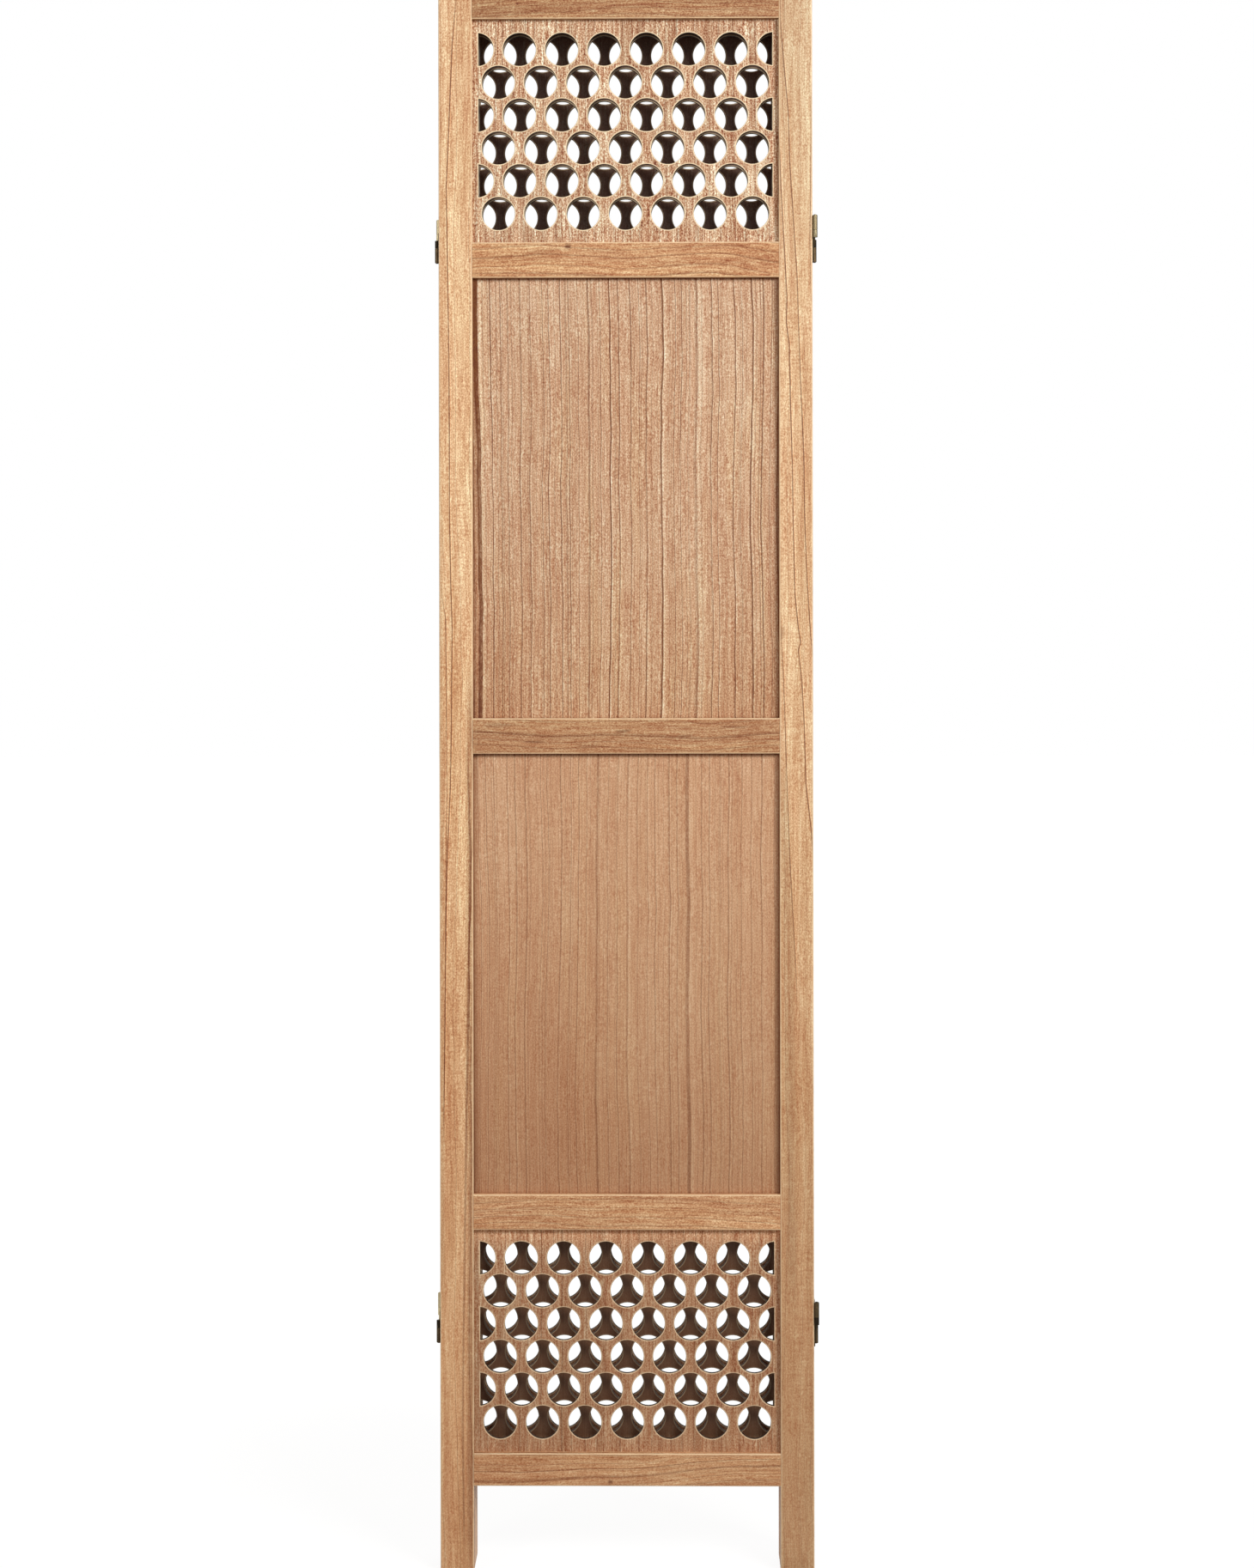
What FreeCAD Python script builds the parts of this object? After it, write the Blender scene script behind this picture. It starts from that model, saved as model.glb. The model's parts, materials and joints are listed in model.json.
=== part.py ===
# Wooden folding screen of three framed panels, modelled folded up.
# Millimetres. X runs across the panels, Y from the front panel to the rear one, Z up.
# The origin is on the floor, in the middle of the folded screen.
import FreeCAD, Part
import math
import os

# Panels
panel_width = 400.0
panel_height = 1700.0
panel_thickness = 20.0
folded_gap = 1.0

# Frame members
stile_width = 36.0
rail_height = 38.0
bottom_rail_height = 35.0
leg_height = 92.0
lattice_field_height = 239.0
arris_radius = 1.2
foot_chamfer_share = 0.75

# Thin boards and the grooves that hold them
lattice_thickness = 5.0
board_thickness = 4.0
board_tongue = 5.0
groove_end_gap = 1.0
groove_side_gap = 0.1

# Round holes of the lattices
hole_diameter = 35.3
hole_pitch = 45.4
row_pitch = 35.2
uncut_rim = 6.5
least_hole_share = 0.25
part_hole_corner = 1.5
hole_rim_radius = 0.6
# Lattices fitted end for end behind the first panel, which staggers the rows seen through it
turned_lattices = [(2, "lower_lattice"), (3, "lower_lattice"), (3, "upper_lattice")]

# Dowels, two in each rail end
dowel_diameter = 6.0
dowel_length = 36.0
dowel_spacing = 14.0
dowel_side_gap = 0.1
dowel_end_gap = 1.0
dowel_chamfer = 0.8

# Two-way hinges
hinge_below_top = 273.0
hinge_above_floor = 265.0
hinge_height = 48.0
leaf_thickness = 1.2
leaf_corner_radius = 1.5
barrel_diameter = 5.0
barrel_edge_gap = 0.3
barrel_leaf_gap = 0.7
link_knuckle_height = 8.0
link_leaf_gap = 0.5
knuckle_gap = 0.25
pin_diameter = 2.4
pin_side_gap = 0.05
pin_head_diameter = 3.8
pin_head_height = 1.0
pin_crown_share = 0.8

# Hinge screws
screw_diameter = 2.8
screw_length = 14.0
screw_head_diameter = 5.0
screw_from_leaf_end = 8.5
screw_side_gap = 0.1
screw_end_gap = 0.8
screw_point_length = 3.0
screw_point_share = 0.3
screw_slot_width = 0.8
screw_slot_depth = 0.5

# How far a cutting shape runs past what it cuts, and the most that a rounding takes of a side
overrun = 1.0
largest_round_share = 0.33

# Each junction: the side of the screen that it is on, and its nearer panel
junctions = {"right": (1, 1), "left": (-1, 2)}
panel_count = 1 + len(junctions)

# Places that follow from these sizes
opening_width = panel_width - 2 * stile_width
edge_x = panel_width / 2
opening_x = opening_width / 2
barrel_radius = barrel_diameter / 2
panel_pitch = panel_thickness + folded_gap
pin_offset = barrel_radius + barrel_edge_gap
folded_depth = panel_count * panel_pitch - folded_gap / 2 + barrel_radius
front_pin_y = barrel_radius - folded_depth / 2
groove_depth = board_tongue + groove_end_gap

rail_heights = {
    "bottom_rail": bottom_rail_height,
    "lower_rail": rail_height,
    "middle_rail": rail_height,
    "upper_rail": rail_height,
    "top_rail": rail_height,
}
board_fields_height = (
    panel_height - leg_height - 2 * lattice_field_height - sum(rail_heights.values())
)
field_heights = {
    "lower_lattice": lattice_field_height,
    "lower_board": board_fields_height / 2,
    "upper_board": board_fields_height / 2,
    "upper_lattice": lattice_field_height,
}

X_WAY = FreeCAD.Vector(1, 0, 0)
Y_WAY = FreeCAD.Vector(0, 1, 0)
Z_WAY = FreeCAD.Vector(0, 0, 1)
HALF_TURN = math.degrees(math.pi)
parallel_share = 0.999


def point(x, y, z):
    return FreeCAD.Vector(x, y, z)


def block(x_range, y_range, z_range):
    """A box between two values on each axis."""
    lows = [min(span) for span in (x_range, y_range, z_range)]
    sizes = [max(span) - min(span) for span in (x_range, y_range, z_range)]
    return Part.makeBox(*sizes, point(*lows))


def edges_along(shape, way):
    """The straight edges that run along a direction."""
    straight = [edge for edge in shape.Edges if isinstance(edge.Curve, Part.Line)]
    return [edge for edge in straight if abs(edge.Curve.Direction.dot(way)) > parallel_share]


def round_edges(shape):
    return [edge for edge in shape.Edges if isinstance(edge.Curve, Part.Circle)]


def rounded_bar(bar, way):
    """A bar with its long edges rounded over."""
    box = bar.BoundBox
    thinnest = min(box.XLength, box.YLength, box.ZLength)
    return bar.makeFillet(min(arris_radius, thinnest * largest_round_share), edges_along(bar, way))


def stack_up():
    """The height range of each rail and each field, from the legs to the top."""
    rails = {}
    fields = {}
    level = leg_height
    field_names = list(field_heights)
    for index, (rail, height) in enumerate(rail_heights.items()):
        rails[rail] = (level, level + height)
        level += height
        if index < len(field_names):
            field = field_names[index]
            fields[field] = (level, level + field_heights[field])
            level += field_heights[field]
    return rails, fields


rail_ranges, field_ranges = stack_up()


def field_thickness(field):
    return lattice_thickness if field.endswith("lattice") else board_thickness


def field_grooves():
    """One block for each field: the grooves that its board sits in, on all four sides."""
    grooves = []
    for field, (low, high) in field_ranges.items():
        half = field_thickness(field) / 2 + groove_side_gap
        reach_x = opening_x + groove_depth
        grooves.append(block((-reach_x, reach_x), (-half, half), (low - groove_depth, high + groove_depth)))
    return grooves


def dowel_places():
    """The middle of each dowel: a side of the frame and a height."""
    places = []
    for low, high in rail_ranges.values():
        middle = (low + high) / 2
        for side in (-1, 1):
            for step in (-1, 1):
                places.append((side, middle + step * dowel_spacing / 2))
    return places


def dowel_holes():
    length = dowel_length + 2 * dowel_end_gap
    radius = dowel_diameter / 2 + dowel_side_gap
    holes = []
    for side, height in dowel_places():
        start = point(side * opening_x - length / 2, 0, height)
        holes.append(Part.makeCylinder(radius, length, start, X_WAY))
    return holes


def dowels():
    pins = []
    for side, height in dowel_places():
        start = point(side * opening_x - dowel_length / 2, 0, height)
        pin = Part.makeCylinder(dowel_diameter / 2, dowel_length, start, X_WAY)
        pins.append(pin.makeChamfer(dowel_chamfer, round_edges(pin)))
    return pins


def hinge_heights():
    return {"upper": panel_height - hinge_below_top, "lower": hinge_above_floor}


def stile(side, hinge_sides, cuts):
    """An upright. Its lower end is a leg, and its outer edge may carry hinge screws."""
    half = panel_thickness / 2
    bar = block((side * opening_x, side * edge_x), (-half, half), (0, panel_height))
    bar = rounded_bar(bar, Z_WAY)
    foot = [edge for edge in bar.Edges if edge.BoundBox.ZMax < arris_radius / 2]
    bar = bar.makeChamfer(arris_radius * foot_chamfer_share, foot)
    tools = list(cuts)
    if side in hinge_sides:
        tools += [screw_pilot(side, height) for height in screw_heights()]
    return bar.cut(Part.makeCompound(tools))


def rail(name, cuts):
    half = panel_thickness / 2
    bar = block((-opening_x, opening_x), (-half, half), rail_ranges[name])
    return rounded_bar(bar, X_WAY).cut(Part.makeCompound(cuts))


def thin_board(field):
    """A plain board that reaches into the grooves around its field."""
    low, high = field_ranges[field]
    half = field_thickness(field) / 2
    reach_x = opening_x + board_tongue
    return block((-reach_x, reach_x), (-half, half), (low - board_tongue, high + board_tongue))


def hole_centres(first):
    """Centres of one row's holes that are not past the rim left beside the frame."""
    radius = hole_diameter / 2
    limit = opening_x - uncut_rim
    centres = []
    centre = first
    while centre - radius + hole_diameter * least_hole_share <= limit:
        centres += [centre] if centre == 0 else [-centre, centre]
        centre += hole_pitch
    return centres


def lattice_hole(x, z, depth):
    """A round hole, cut straight where it would reach the rim beside the frame."""
    radius = hole_diameter / 2
    limit = opening_x - uncut_rim
    hole = Part.makeCylinder(radius, depth, point(x, -depth / 2, z), Y_WAY)
    if abs(x) + radius <= limit:
        return hole
    side = math.copysign(1, x)
    inner = side * (abs(x) - radius - overrun)
    keep = block((inner, side * limit), (-depth, depth), (z - hole_diameter, z + hole_diameter))
    part_hole = hole.common(keep)
    return part_hole.makeFillet(part_hole_corner, edges_along(part_hole, Y_WAY))


def lattice_board():
    """A board pierced with staggered rows of round holes, centred on its own middle."""
    half = lattice_thickness / 2
    reach_x = opening_x + board_tongue
    reach_z = lattice_field_height / 2 + board_tongue
    board = block((-reach_x, reach_x), (-half, half), (-reach_z, reach_z))
    rows = 1 + math.floor((lattice_field_height - hole_diameter - 2 * uncut_rim) / row_pitch)
    holes = []
    for row in range(rows):
        z = (rows - 1) * row_pitch / 2 - row * row_pitch
        first = hole_pitch / 2 if row % 2 == 0 else 0
        holes += [lattice_hole(x, z, lattice_thickness + 2 * overrun) for x in hole_centres(first)]
    board = board.cut(Part.makeCompound(holes))
    limit = opening_x - uncut_rim / 2
    rims = [
        edge
        for edge in board.Edges
        if abs(edge.BoundBox.YLength) < hole_rim_radius / 2
        and abs(edge.BoundBox.XMin) < limit
        and abs(edge.BoundBox.XMax) < limit
    ]
    return board.makeFillet(min(hole_rim_radius, lattice_thickness * largest_round_share), rims)


# A hinge is drawn upright with its own zero at its middle height: x out from the stile's edge,
# y from the near pin towards the far pin, one panel pitch further on.
leaf_clear = barrel_radius + barrel_leaf_gap
leaf_knuckle_start = 2 * knuckle_gap + link_knuckle_height
link_reach = knuckle_gap + link_knuckle_height
hinge_top = hinge_height / 2
link_inner_x = leaf_thickness + link_leaf_gap


def barrel(y, z_range):
    low, high = min(z_range), max(z_range)
    return Part.makeCylinder(barrel_radius, high - low, point(pin_offset, y, low))


def pin_bore(y, up):
    """A bore through the upper or the lower half of the hinge, at one pin."""
    height = hinge_top + overrun
    return Part.makeCylinder(pin_diameter / 2 + pin_side_gap, height, point(pin_offset, y, 0), Z_WAY * up)


def hinge_leaf(pin_y, up):
    """A screwed leaf, rolled into the outer knuckle at its pin."""
    start = pin_y + leaf_clear
    end = pin_y + panel_pitch - leaf_clear
    plate = block((0, leaf_thickness), (start, end), (-hinge_top, hinge_top))
    corner = min(leaf_corner_radius, (end - start) * largest_round_share)
    plate = plate.makeFillet(corner, edges_along(plate, X_WAY))
    knuckle_range = (up * leaf_knuckle_start, up * hinge_top)
    web = block((0, leaf_thickness), (pin_y, start + corner), knuckle_range)
    leaf = plate.fuse(web).fuse(barrel(pin_y, knuckle_range)).removeSplitter()
    tools = [pin_bore(pin_y, up)]
    for z in screw_offsets():
        tools.append(screw_body(point(0, (start + end) / 2, z), screw_side_gap))
    return leaf.cut(Part.makeCompound(tools))


def hinge_link():
    """The link between the pins: one knuckle up at the near pin, one down at the far pin."""
    plate = block((link_inner_x, link_inner_x + leaf_thickness), (0, panel_pitch), (-link_reach, link_reach))
    near = barrel(0, (knuckle_gap, link_reach))
    far = barrel(panel_pitch, (-knuckle_gap, -link_reach))
    link = plate.fuse(near).fuse(far).removeSplitter()
    return link.cut(pin_bore(0, 1)).cut(pin_bore(panel_pitch, -1))


def hinge_pin(y, up):
    """A pin with a domed head on the outer end of its barrel."""
    way = Z_WAY * up
    start = point(pin_offset, y, up * knuckle_gap)
    shank = Part.makeCylinder(pin_diameter / 2, hinge_top - knuckle_gap, start, way)
    seat = point(pin_offset, y, up * hinge_top)
    head = Part.makeCylinder(pin_head_diameter / 2, pin_head_height, seat, way)
    rim = max(round_edges(head), key=lambda edge: up * edge.Curve.Center.z)
    head = head.makeFillet(pin_head_height * pin_crown_share, [rim])
    return head.fuse(shank).removeSplitter()


def screw_offsets():
    """Screw heights in a leaf, from the hinge's middle."""
    reach = hinge_top - screw_from_leaf_end
    return [-reach, reach]


def screw_heights():
    return [middle + offset for middle in hinge_heights().values() for offset in screw_offsets()]


def screw_body(base, gap):
    """Countersunk head and shank, grown by a gap all round. Its head is flush with the leaf."""
    head_radius = screw_head_diameter / 2 + gap
    shank_radius = screw_diameter / 2 + gap
    top = base + X_WAY * leaf_thickness
    head = Part.makeCone(head_radius, shank_radius, head_radius - shank_radius, top, X_WAY * -1)
    straight = screw_length - screw_point_length
    shank = Part.makeCylinder(shank_radius, straight, top, X_WAY * -1)
    return head.fuse(shank)


def hinge_screw(base):
    """A slotted wood screw with a tapered point."""
    top = base + X_WAY * leaf_thickness
    radius = screw_diameter / 2
    start = top - X_WAY * (screw_length - screw_point_length)
    tip = Part.makeCone(radius, radius * screw_point_share, screw_point_length, start, X_WAY * -1)
    screw = screw_body(base, 0).fuse(tip).removeSplitter()
    slot = block(
        (top.x - screw_slot_depth, top.x + overrun),
        (base.y - screw_slot_width / 2, base.y + screw_slot_width / 2),
        (base.z - screw_head_diameter, base.z + screw_head_diameter),
    )
    return screw.cut(slot)


def screw_pilot(side, height):
    """The pilot hole of one screw, from a stile's outer edge."""
    depth = screw_length - leaf_thickness + screw_end_gap
    start = point(side * (edge_x + overrun), 0, height)
    return Part.makeCylinder(screw_diameter / 2 + screw_side_gap, depth + overrun, start, X_WAY * -side)


def placed_hinge(shape, side, near_panel, height):
    """A hinge piece moved to its junction. On the left edge the same hinge is upside down."""
    moved = shape.copy()
    if side < 0:
        moved.rotate(point(0, 0, 0), Y_WAY, HALF_TURN)
    moved.translate(point(side * edge_x, front_pin_y + (near_panel - 1) * panel_pitch, height))
    return moved


def panel_pieces(number, hinge_sides):
    """The wooden pieces of one panel."""
    cuts = field_grooves() + dowel_holes()
    pieces = {
        "left_stile": stile(-1, hinge_sides, cuts),
        "right_stile": stile(1, hinge_sides, cuts),
    }
    for name in rail_ranges:
        pieces[name] = rail(name, cuts)
    for field, (low, high) in field_ranges.items():
        if field.endswith("board"):
            pieces[field] = thin_board(field)
            continue
        board = lattice.copy()
        if (number, field) in turned_lattices:
            board.rotate(point(0, 0, 0), Y_WAY, HALF_TURN)
        board.translate(point(0, 0, (low + high) / 2))
        pieces[field] = board
    pieces["dowels"] = Part.makeCompound(dowels())
    shift = point(0, front_pin_y + folded_gap / 2 + panel_thickness / 2 + (number - 1) * panel_pitch, 0)
    for shape in pieces.values():
        shape.translate(shift)
    return {f"panel_{number}_{name}": shape for name, shape in pieces.items()}


def hinge_pieces(prefix, side, near_panel, height):
    """The four nodes of one hinge, in place."""
    shapes = {
        "near_leaf": hinge_leaf(0, 1),
        "far_leaf": hinge_leaf(panel_pitch, -1),
        "link": hinge_link(),
        "pins": Part.makeCompound([hinge_pin(0, 1), hinge_pin(panel_pitch, -1)]),
    }
    return {
        f"{prefix}_{name}": placed_hinge(shape, side, near_panel, height) for name, shape in shapes.items()
    }


def screws_of(panel_number):
    """All hinge screws in one panel's edges, placed through the leaves that hold them."""
    screws = []
    for side, near_panel in junctions.values():
        if panel_number not in (near_panel, near_panel + 1):
            continue
        middle = (panel_number - near_panel) * panel_pitch + panel_pitch / 2
        for height in hinge_heights().values():
            for offset in screw_offsets():
                screw = hinge_screw(point(0, middle, offset))
                screws.append(placed_hinge(screw, side, near_panel, height))
    return Part.makeCompound(screws)


lattice = lattice_board()

nodes = {}
for number in range(1, panel_count + 1):
    hinge_sides = [side for side, near in junctions.values() if number in (near, near + 1)]
    nodes.update(panel_pieces(number, hinge_sides))
    nodes[f"panel_{number}_hinge_screws"] = screws_of(number)
for place, (side, near_panel) in junctions.items():
    for level, height in hinge_heights().items():
        nodes.update(hinge_pieces(f"{place}_{level}_hinge", side, near_panel, height))

os.makedirs("parts", exist_ok=True)
for name, shape in nodes.items():
    shape.exportStep(f"parts/{name}.step")
    print(f"{name}: {len(shape.Solids)} solids, {shape.Volume:.1f} mm3, valid {shape.isValid()}")
whole = Part.makeCompound(list(nodes.values())).BoundBox
print(f"{len(nodes)} nodes, whole box x {whole.XMin:.2f} to {whole.XMax:.2f},", end=" ")
print(f"y {whole.YMin:.2f} to {whole.YMax:.2f}, z {whole.ZMin:.2f} to {whole.ZMax:.2f}")
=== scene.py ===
# Finish of the three-panel folding screen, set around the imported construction. Metres, Z up.
import json
import math
import random

import bmesh
import bpy
from mathutils import Matrix, Vector


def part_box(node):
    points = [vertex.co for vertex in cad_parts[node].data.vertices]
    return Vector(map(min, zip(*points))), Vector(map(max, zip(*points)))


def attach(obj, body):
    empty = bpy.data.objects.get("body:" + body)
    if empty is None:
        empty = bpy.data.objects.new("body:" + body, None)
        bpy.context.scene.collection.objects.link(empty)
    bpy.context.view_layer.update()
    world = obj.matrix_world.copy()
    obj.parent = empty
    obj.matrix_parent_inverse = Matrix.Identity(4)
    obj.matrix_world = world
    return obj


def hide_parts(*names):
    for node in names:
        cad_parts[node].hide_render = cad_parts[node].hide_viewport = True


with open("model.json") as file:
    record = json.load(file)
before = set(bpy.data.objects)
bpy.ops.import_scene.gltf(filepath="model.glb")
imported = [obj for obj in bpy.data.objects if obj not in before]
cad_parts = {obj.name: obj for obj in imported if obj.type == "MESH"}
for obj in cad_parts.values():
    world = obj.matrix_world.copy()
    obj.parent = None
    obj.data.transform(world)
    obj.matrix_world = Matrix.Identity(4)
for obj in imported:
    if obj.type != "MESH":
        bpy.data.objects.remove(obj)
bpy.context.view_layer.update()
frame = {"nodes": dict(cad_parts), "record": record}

bodyOfNode = {}
for bodyName, members in frame["record"]["behaviour"]["bodies"].items():
    for member in members:
        bodyOfNode[member] = bodyName

panelNumbers = (1, 2, 3)
frontWay = {1: -1, 2: 1, 3: -1}  # the middle panel is folded round, so that its front looks backwards
mm = 0.001
quarterTurn = math.pi / 2


# Colours are given as they look on a screen, 0 to 255
def colourOf(red, green, blue):
    channels = []
    for value in (red, green, blue):
        share = value / 255
        channels.append(share / 12.92 if share <= 0.04045 else ((share + 0.055) / 1.055) ** 2.4)
    return (*channels, 1.0)


# What comes out of a node; sums, products and the like of such values make their own nodes
class Flow:
    def __init__(self, socket):
        self.socket = socket

    def __add__(self, other):
        return maths("ADD", self, other)

    def __radd__(self, other):
        return maths("ADD", other, self)

    def __sub__(self, other):
        return maths("SUBTRACT", self, other)

    def __rsub__(self, other):
        return maths("SUBTRACT", other, self)

    def __mul__(self, other):
        return maths("MULTIPLY", self, other)

    def __rmul__(self, other):
        return maths("MULTIPLY", other, self)

    def __truediv__(self, other):
        return maths("DIVIDE", self, other)

    def __pow__(self, other):
        return maths("POWER", self, other)

    def __abs__(self):
        return maths("ABSOLUTE", self)


def treeOf(values):
    return next(value.socket.id_data for value in values if isinstance(value, Flow))


def feed(socket, value):
    if isinstance(value, Flow):
        socket.id_data.links.new(value.socket, socket)
    else:
        socket.default_value = value


# A new node with its settings and what its inputs are fed
def put(tree, kind, feeds=None, **settings):
    node = tree.nodes.new(kind)
    for name, value in settings.items():
        setattr(node, name, value)
    for key, value in (feeds or {}).items():
        feed(node.inputs[key], value)
    return node


def flow(tree, kind, feeds=None, output=0, **settings):
    return Flow(put(tree, kind, feeds, **settings).outputs[output])


def maths(operation, *values):
    return flow(treeOf(values), "ShaderNodeMath", dict(enumerate(values)), operation=operation)


def clamped(value):
    value.socket.node.use_clamp = True
    return value


def vectorMaths(operation, *values):
    return flow(treeOf(values), "ShaderNodeVectorMath", dict(enumerate(values)), operation=operation)


def scaled(vector, scale):
    return flow(treeOf([vector]), "ShaderNodeVectorMath", {0: vector, "Scale": scale}, operation="SCALE")


def combine(*values):
    return flow(treeOf(values), "ShaderNodeCombineXYZ", dict(enumerate(values)))


def parted(vector):
    return [Flow(socket) for socket in put(treeOf([vector]), "ShaderNodeSeparateXYZ", {0: vector}).outputs]


# A smooth rise from 0 to 1 between two values
def rise(value, low, high):
    feeds = {"Value": value, "From Min": low, "From Max": high}
    return flow(treeOf([value]), "ShaderNodeMapRange", feeds, interpolation_type="SMOOTHSTEP")


# Noise with so many cells per metre along each axis
def noise(vector, density, detail=1.0, roughness=0.5):
    place = vectorMaths("MULTIPLY", vector, density)
    feeds = {"Vector": place, "Scale": 1.0, "Detail": detail, "Roughness": roughness}
    return flow(treeOf([vector]), "ShaderNodeTexNoise", feeds)


def mixColour(share, first, second):
    feeds = {0: share, 6: first, 7: second}
    return flow(treeOf(feeds.values()), "ShaderNodeMix", feeds, 2, data_type="RGBA")


# A group's sockets are named with their default, whose kind tells their type, or with a type alone
def newTree(name, kind, inputs, outputs):
    tree = bpy.data.node_groups.new(name, kind)
    for way, sockets in (("INPUT", inputs), ("OUTPUT", outputs)):
        for label, default in sockets.items():
            socketType = {float: "Float", int: "Int", tuple: "Color"}.get(type(default), default)
            socket = tree.interface.new_socket(name=label, in_out=way, socket_type=f"NodeSocket{socketType}")
            if socketType != default:
                socket.default_value = default
    given = {socket.name: Flow(socket) for socket in tree.nodes.new("NodeGroupInput").outputs}
    return tree, given, tree.nodes.new("NodeGroupOutput").inputs


def placeGroup(tree, group, feeds):
    node = put(tree, "ShaderNodeGroup", feeds, node_tree=group)
    return {socket.name: Flow(socket) for socket in node.outputs}


# Patterns in the wood: noise cells per metre in each direction, Z along the grain, then detail and
# roughness
grainPatterns = {
    "sway": ((5, 5, 2.6), 2.0),
    "shiver": ((14, 14, 24),),
    "cloud": ((7, 7, 3.3), 2.0),
    "lineHere": ((30, 30, 3.4),),
    "beads": ((380, 380, 130), 2.0, 0.6),
    "threads": ((190, 190, 5), 2.0, 0.6),
    "fibre": ((620, 620, 34), 2.0, 0.6),
    "speckle": ((900, 900, 560),),
    "pores": ((900, 900, 110),),
    "ripple": ((64, 64, 400),),
    "rippleHere": ((34, 34, 5),),
    "redHere": ((46, 46, 6), 2.0),
    "creamHere": ((60, 60, 5), 2.0),
}


def pattern(name, vector):
    return noise(vector, *grainPatterns[name])


# The same round zero
def swing(name, vector):
    return pattern(name, vector) - 0.5


# Growth lines seen end-on as thin dark lines, each with a pale one beside it, at uneven distances
lineHabit = {
    "driftPerLine": 0.45,
    "weightPower": 1.3,
    "weightSpread": 0.42,
    "leastWeight": 0.58,
    "gapFrom": 0.32,
    "gapTo": 0.56,
    "gapDepth": 0.34,
    "beadDepth": 1.3,
    "beadFloor": 0.4,
    "sharpSide": 0.4,
    "paleWidth": 1.2,
    "drift": 2.0,
}


def growthLinesGroup():
    habit = lineHabit
    inputs = {
        "Across": 0.0,
        "Vector": "Vector",
        "Seed": 0.0,
        "Lines Per Metre": 60.0,
        "Unevenness": 0.75,
        "Line Share": 0.08,
    }
    tree, given, result = newTree("growthLines", "ShaderNodeTree", inputs, {"Dark": "Float", "Pale": "Float"})
    count = given["Across"] * given["Lines Per Metre"]
    driftFeeds = {"W": count * habit["driftPerLine"] + given["Seed"], "Scale": 1.0, "Detail": 1.0}
    drift = flow(tree, "ShaderNodeTexNoise", driftFeeds, noise_dimensions="1D") - 0.5
    count = drift * given["Unevenness"] * habit["drift"] + count
    share = maths("FRACT", count)
    number = maths("FLOOR", count) + given["Seed"]
    draw = flow(tree, "ShaderNodeTexWhiteNoise", {"W": number}, "Value", noise_dimensions="1D")
    weight = draw ** habit["weightPower"] * habit["weightSpread"] + habit["leastWeight"]
    there = rise(pattern("lineHere", given["Vector"]), habit["gapFrom"], habit["gapTo"])
    weight = weight * (there * habit["gapDepth"] + (1 - habit["gapDepth"]))
    beads = pattern("beads", given["Vector"]) * habit["beadDepth"] + habit["beadFloor"]
    darkFull = given["Line Share"] * -habit["sharpSide"] + 1.0
    dark = rise(share, 1.0 - given["Line Share"], darkFull) * weight
    pale = 1.0 - rise(share, 0.0, given["Line Share"] * habit["paleWidth"])
    feed(result["Dark"], clamped(dark * beads))
    feed(result["Pale"], pale * weight)
    return tree


growthLines = growthLinesGroup()

# Wood, with its grain along Z of the vector that it is given. Where a value is fixed for every
# wood, it stands here.
grainHabit = {
    "seedShift": (3.17, 1.73, 2.39),
    "shiver": 0.0016,
    "lean": 0.55,  # how far the lines lean in the depth of a piece
    "faintCount": 2.3,
    "faintShare": 1.7,
    "faintDark": 0.42,
    "faintPale": 0.4,
    "bandStretch": 0.03,
    "bandRise": (0.3, 0.7),
    "redRise": (0.42, 0.7),
    "creamRise": (0.5, 0.72),
    "poreRise": (0.6, 0.74),
    "rippleRise": (0.44, 0.6),
    "patchDepth": 0.36,
    "lowShadeCalm": 0.4,
    "cloudDepth": 0.28,
    "paleDepth": 0.26,
    "greenPower": 1.9,
    "bluePower": 2.45,
    "warmthGreen": 0.35,
    "warmthBlue": 0.7,
    "lowShadeTint": (0.75, 0.65, 0.59, 1.0),
    "height": {"level": 0.7, "fibre": 0.9, "speckle": 0.5, "pores": 0.6, "lines": 0.5},
    "roughness": {"level": 0.5, "pores": 0.12, "lines": 0.1},
}


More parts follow.
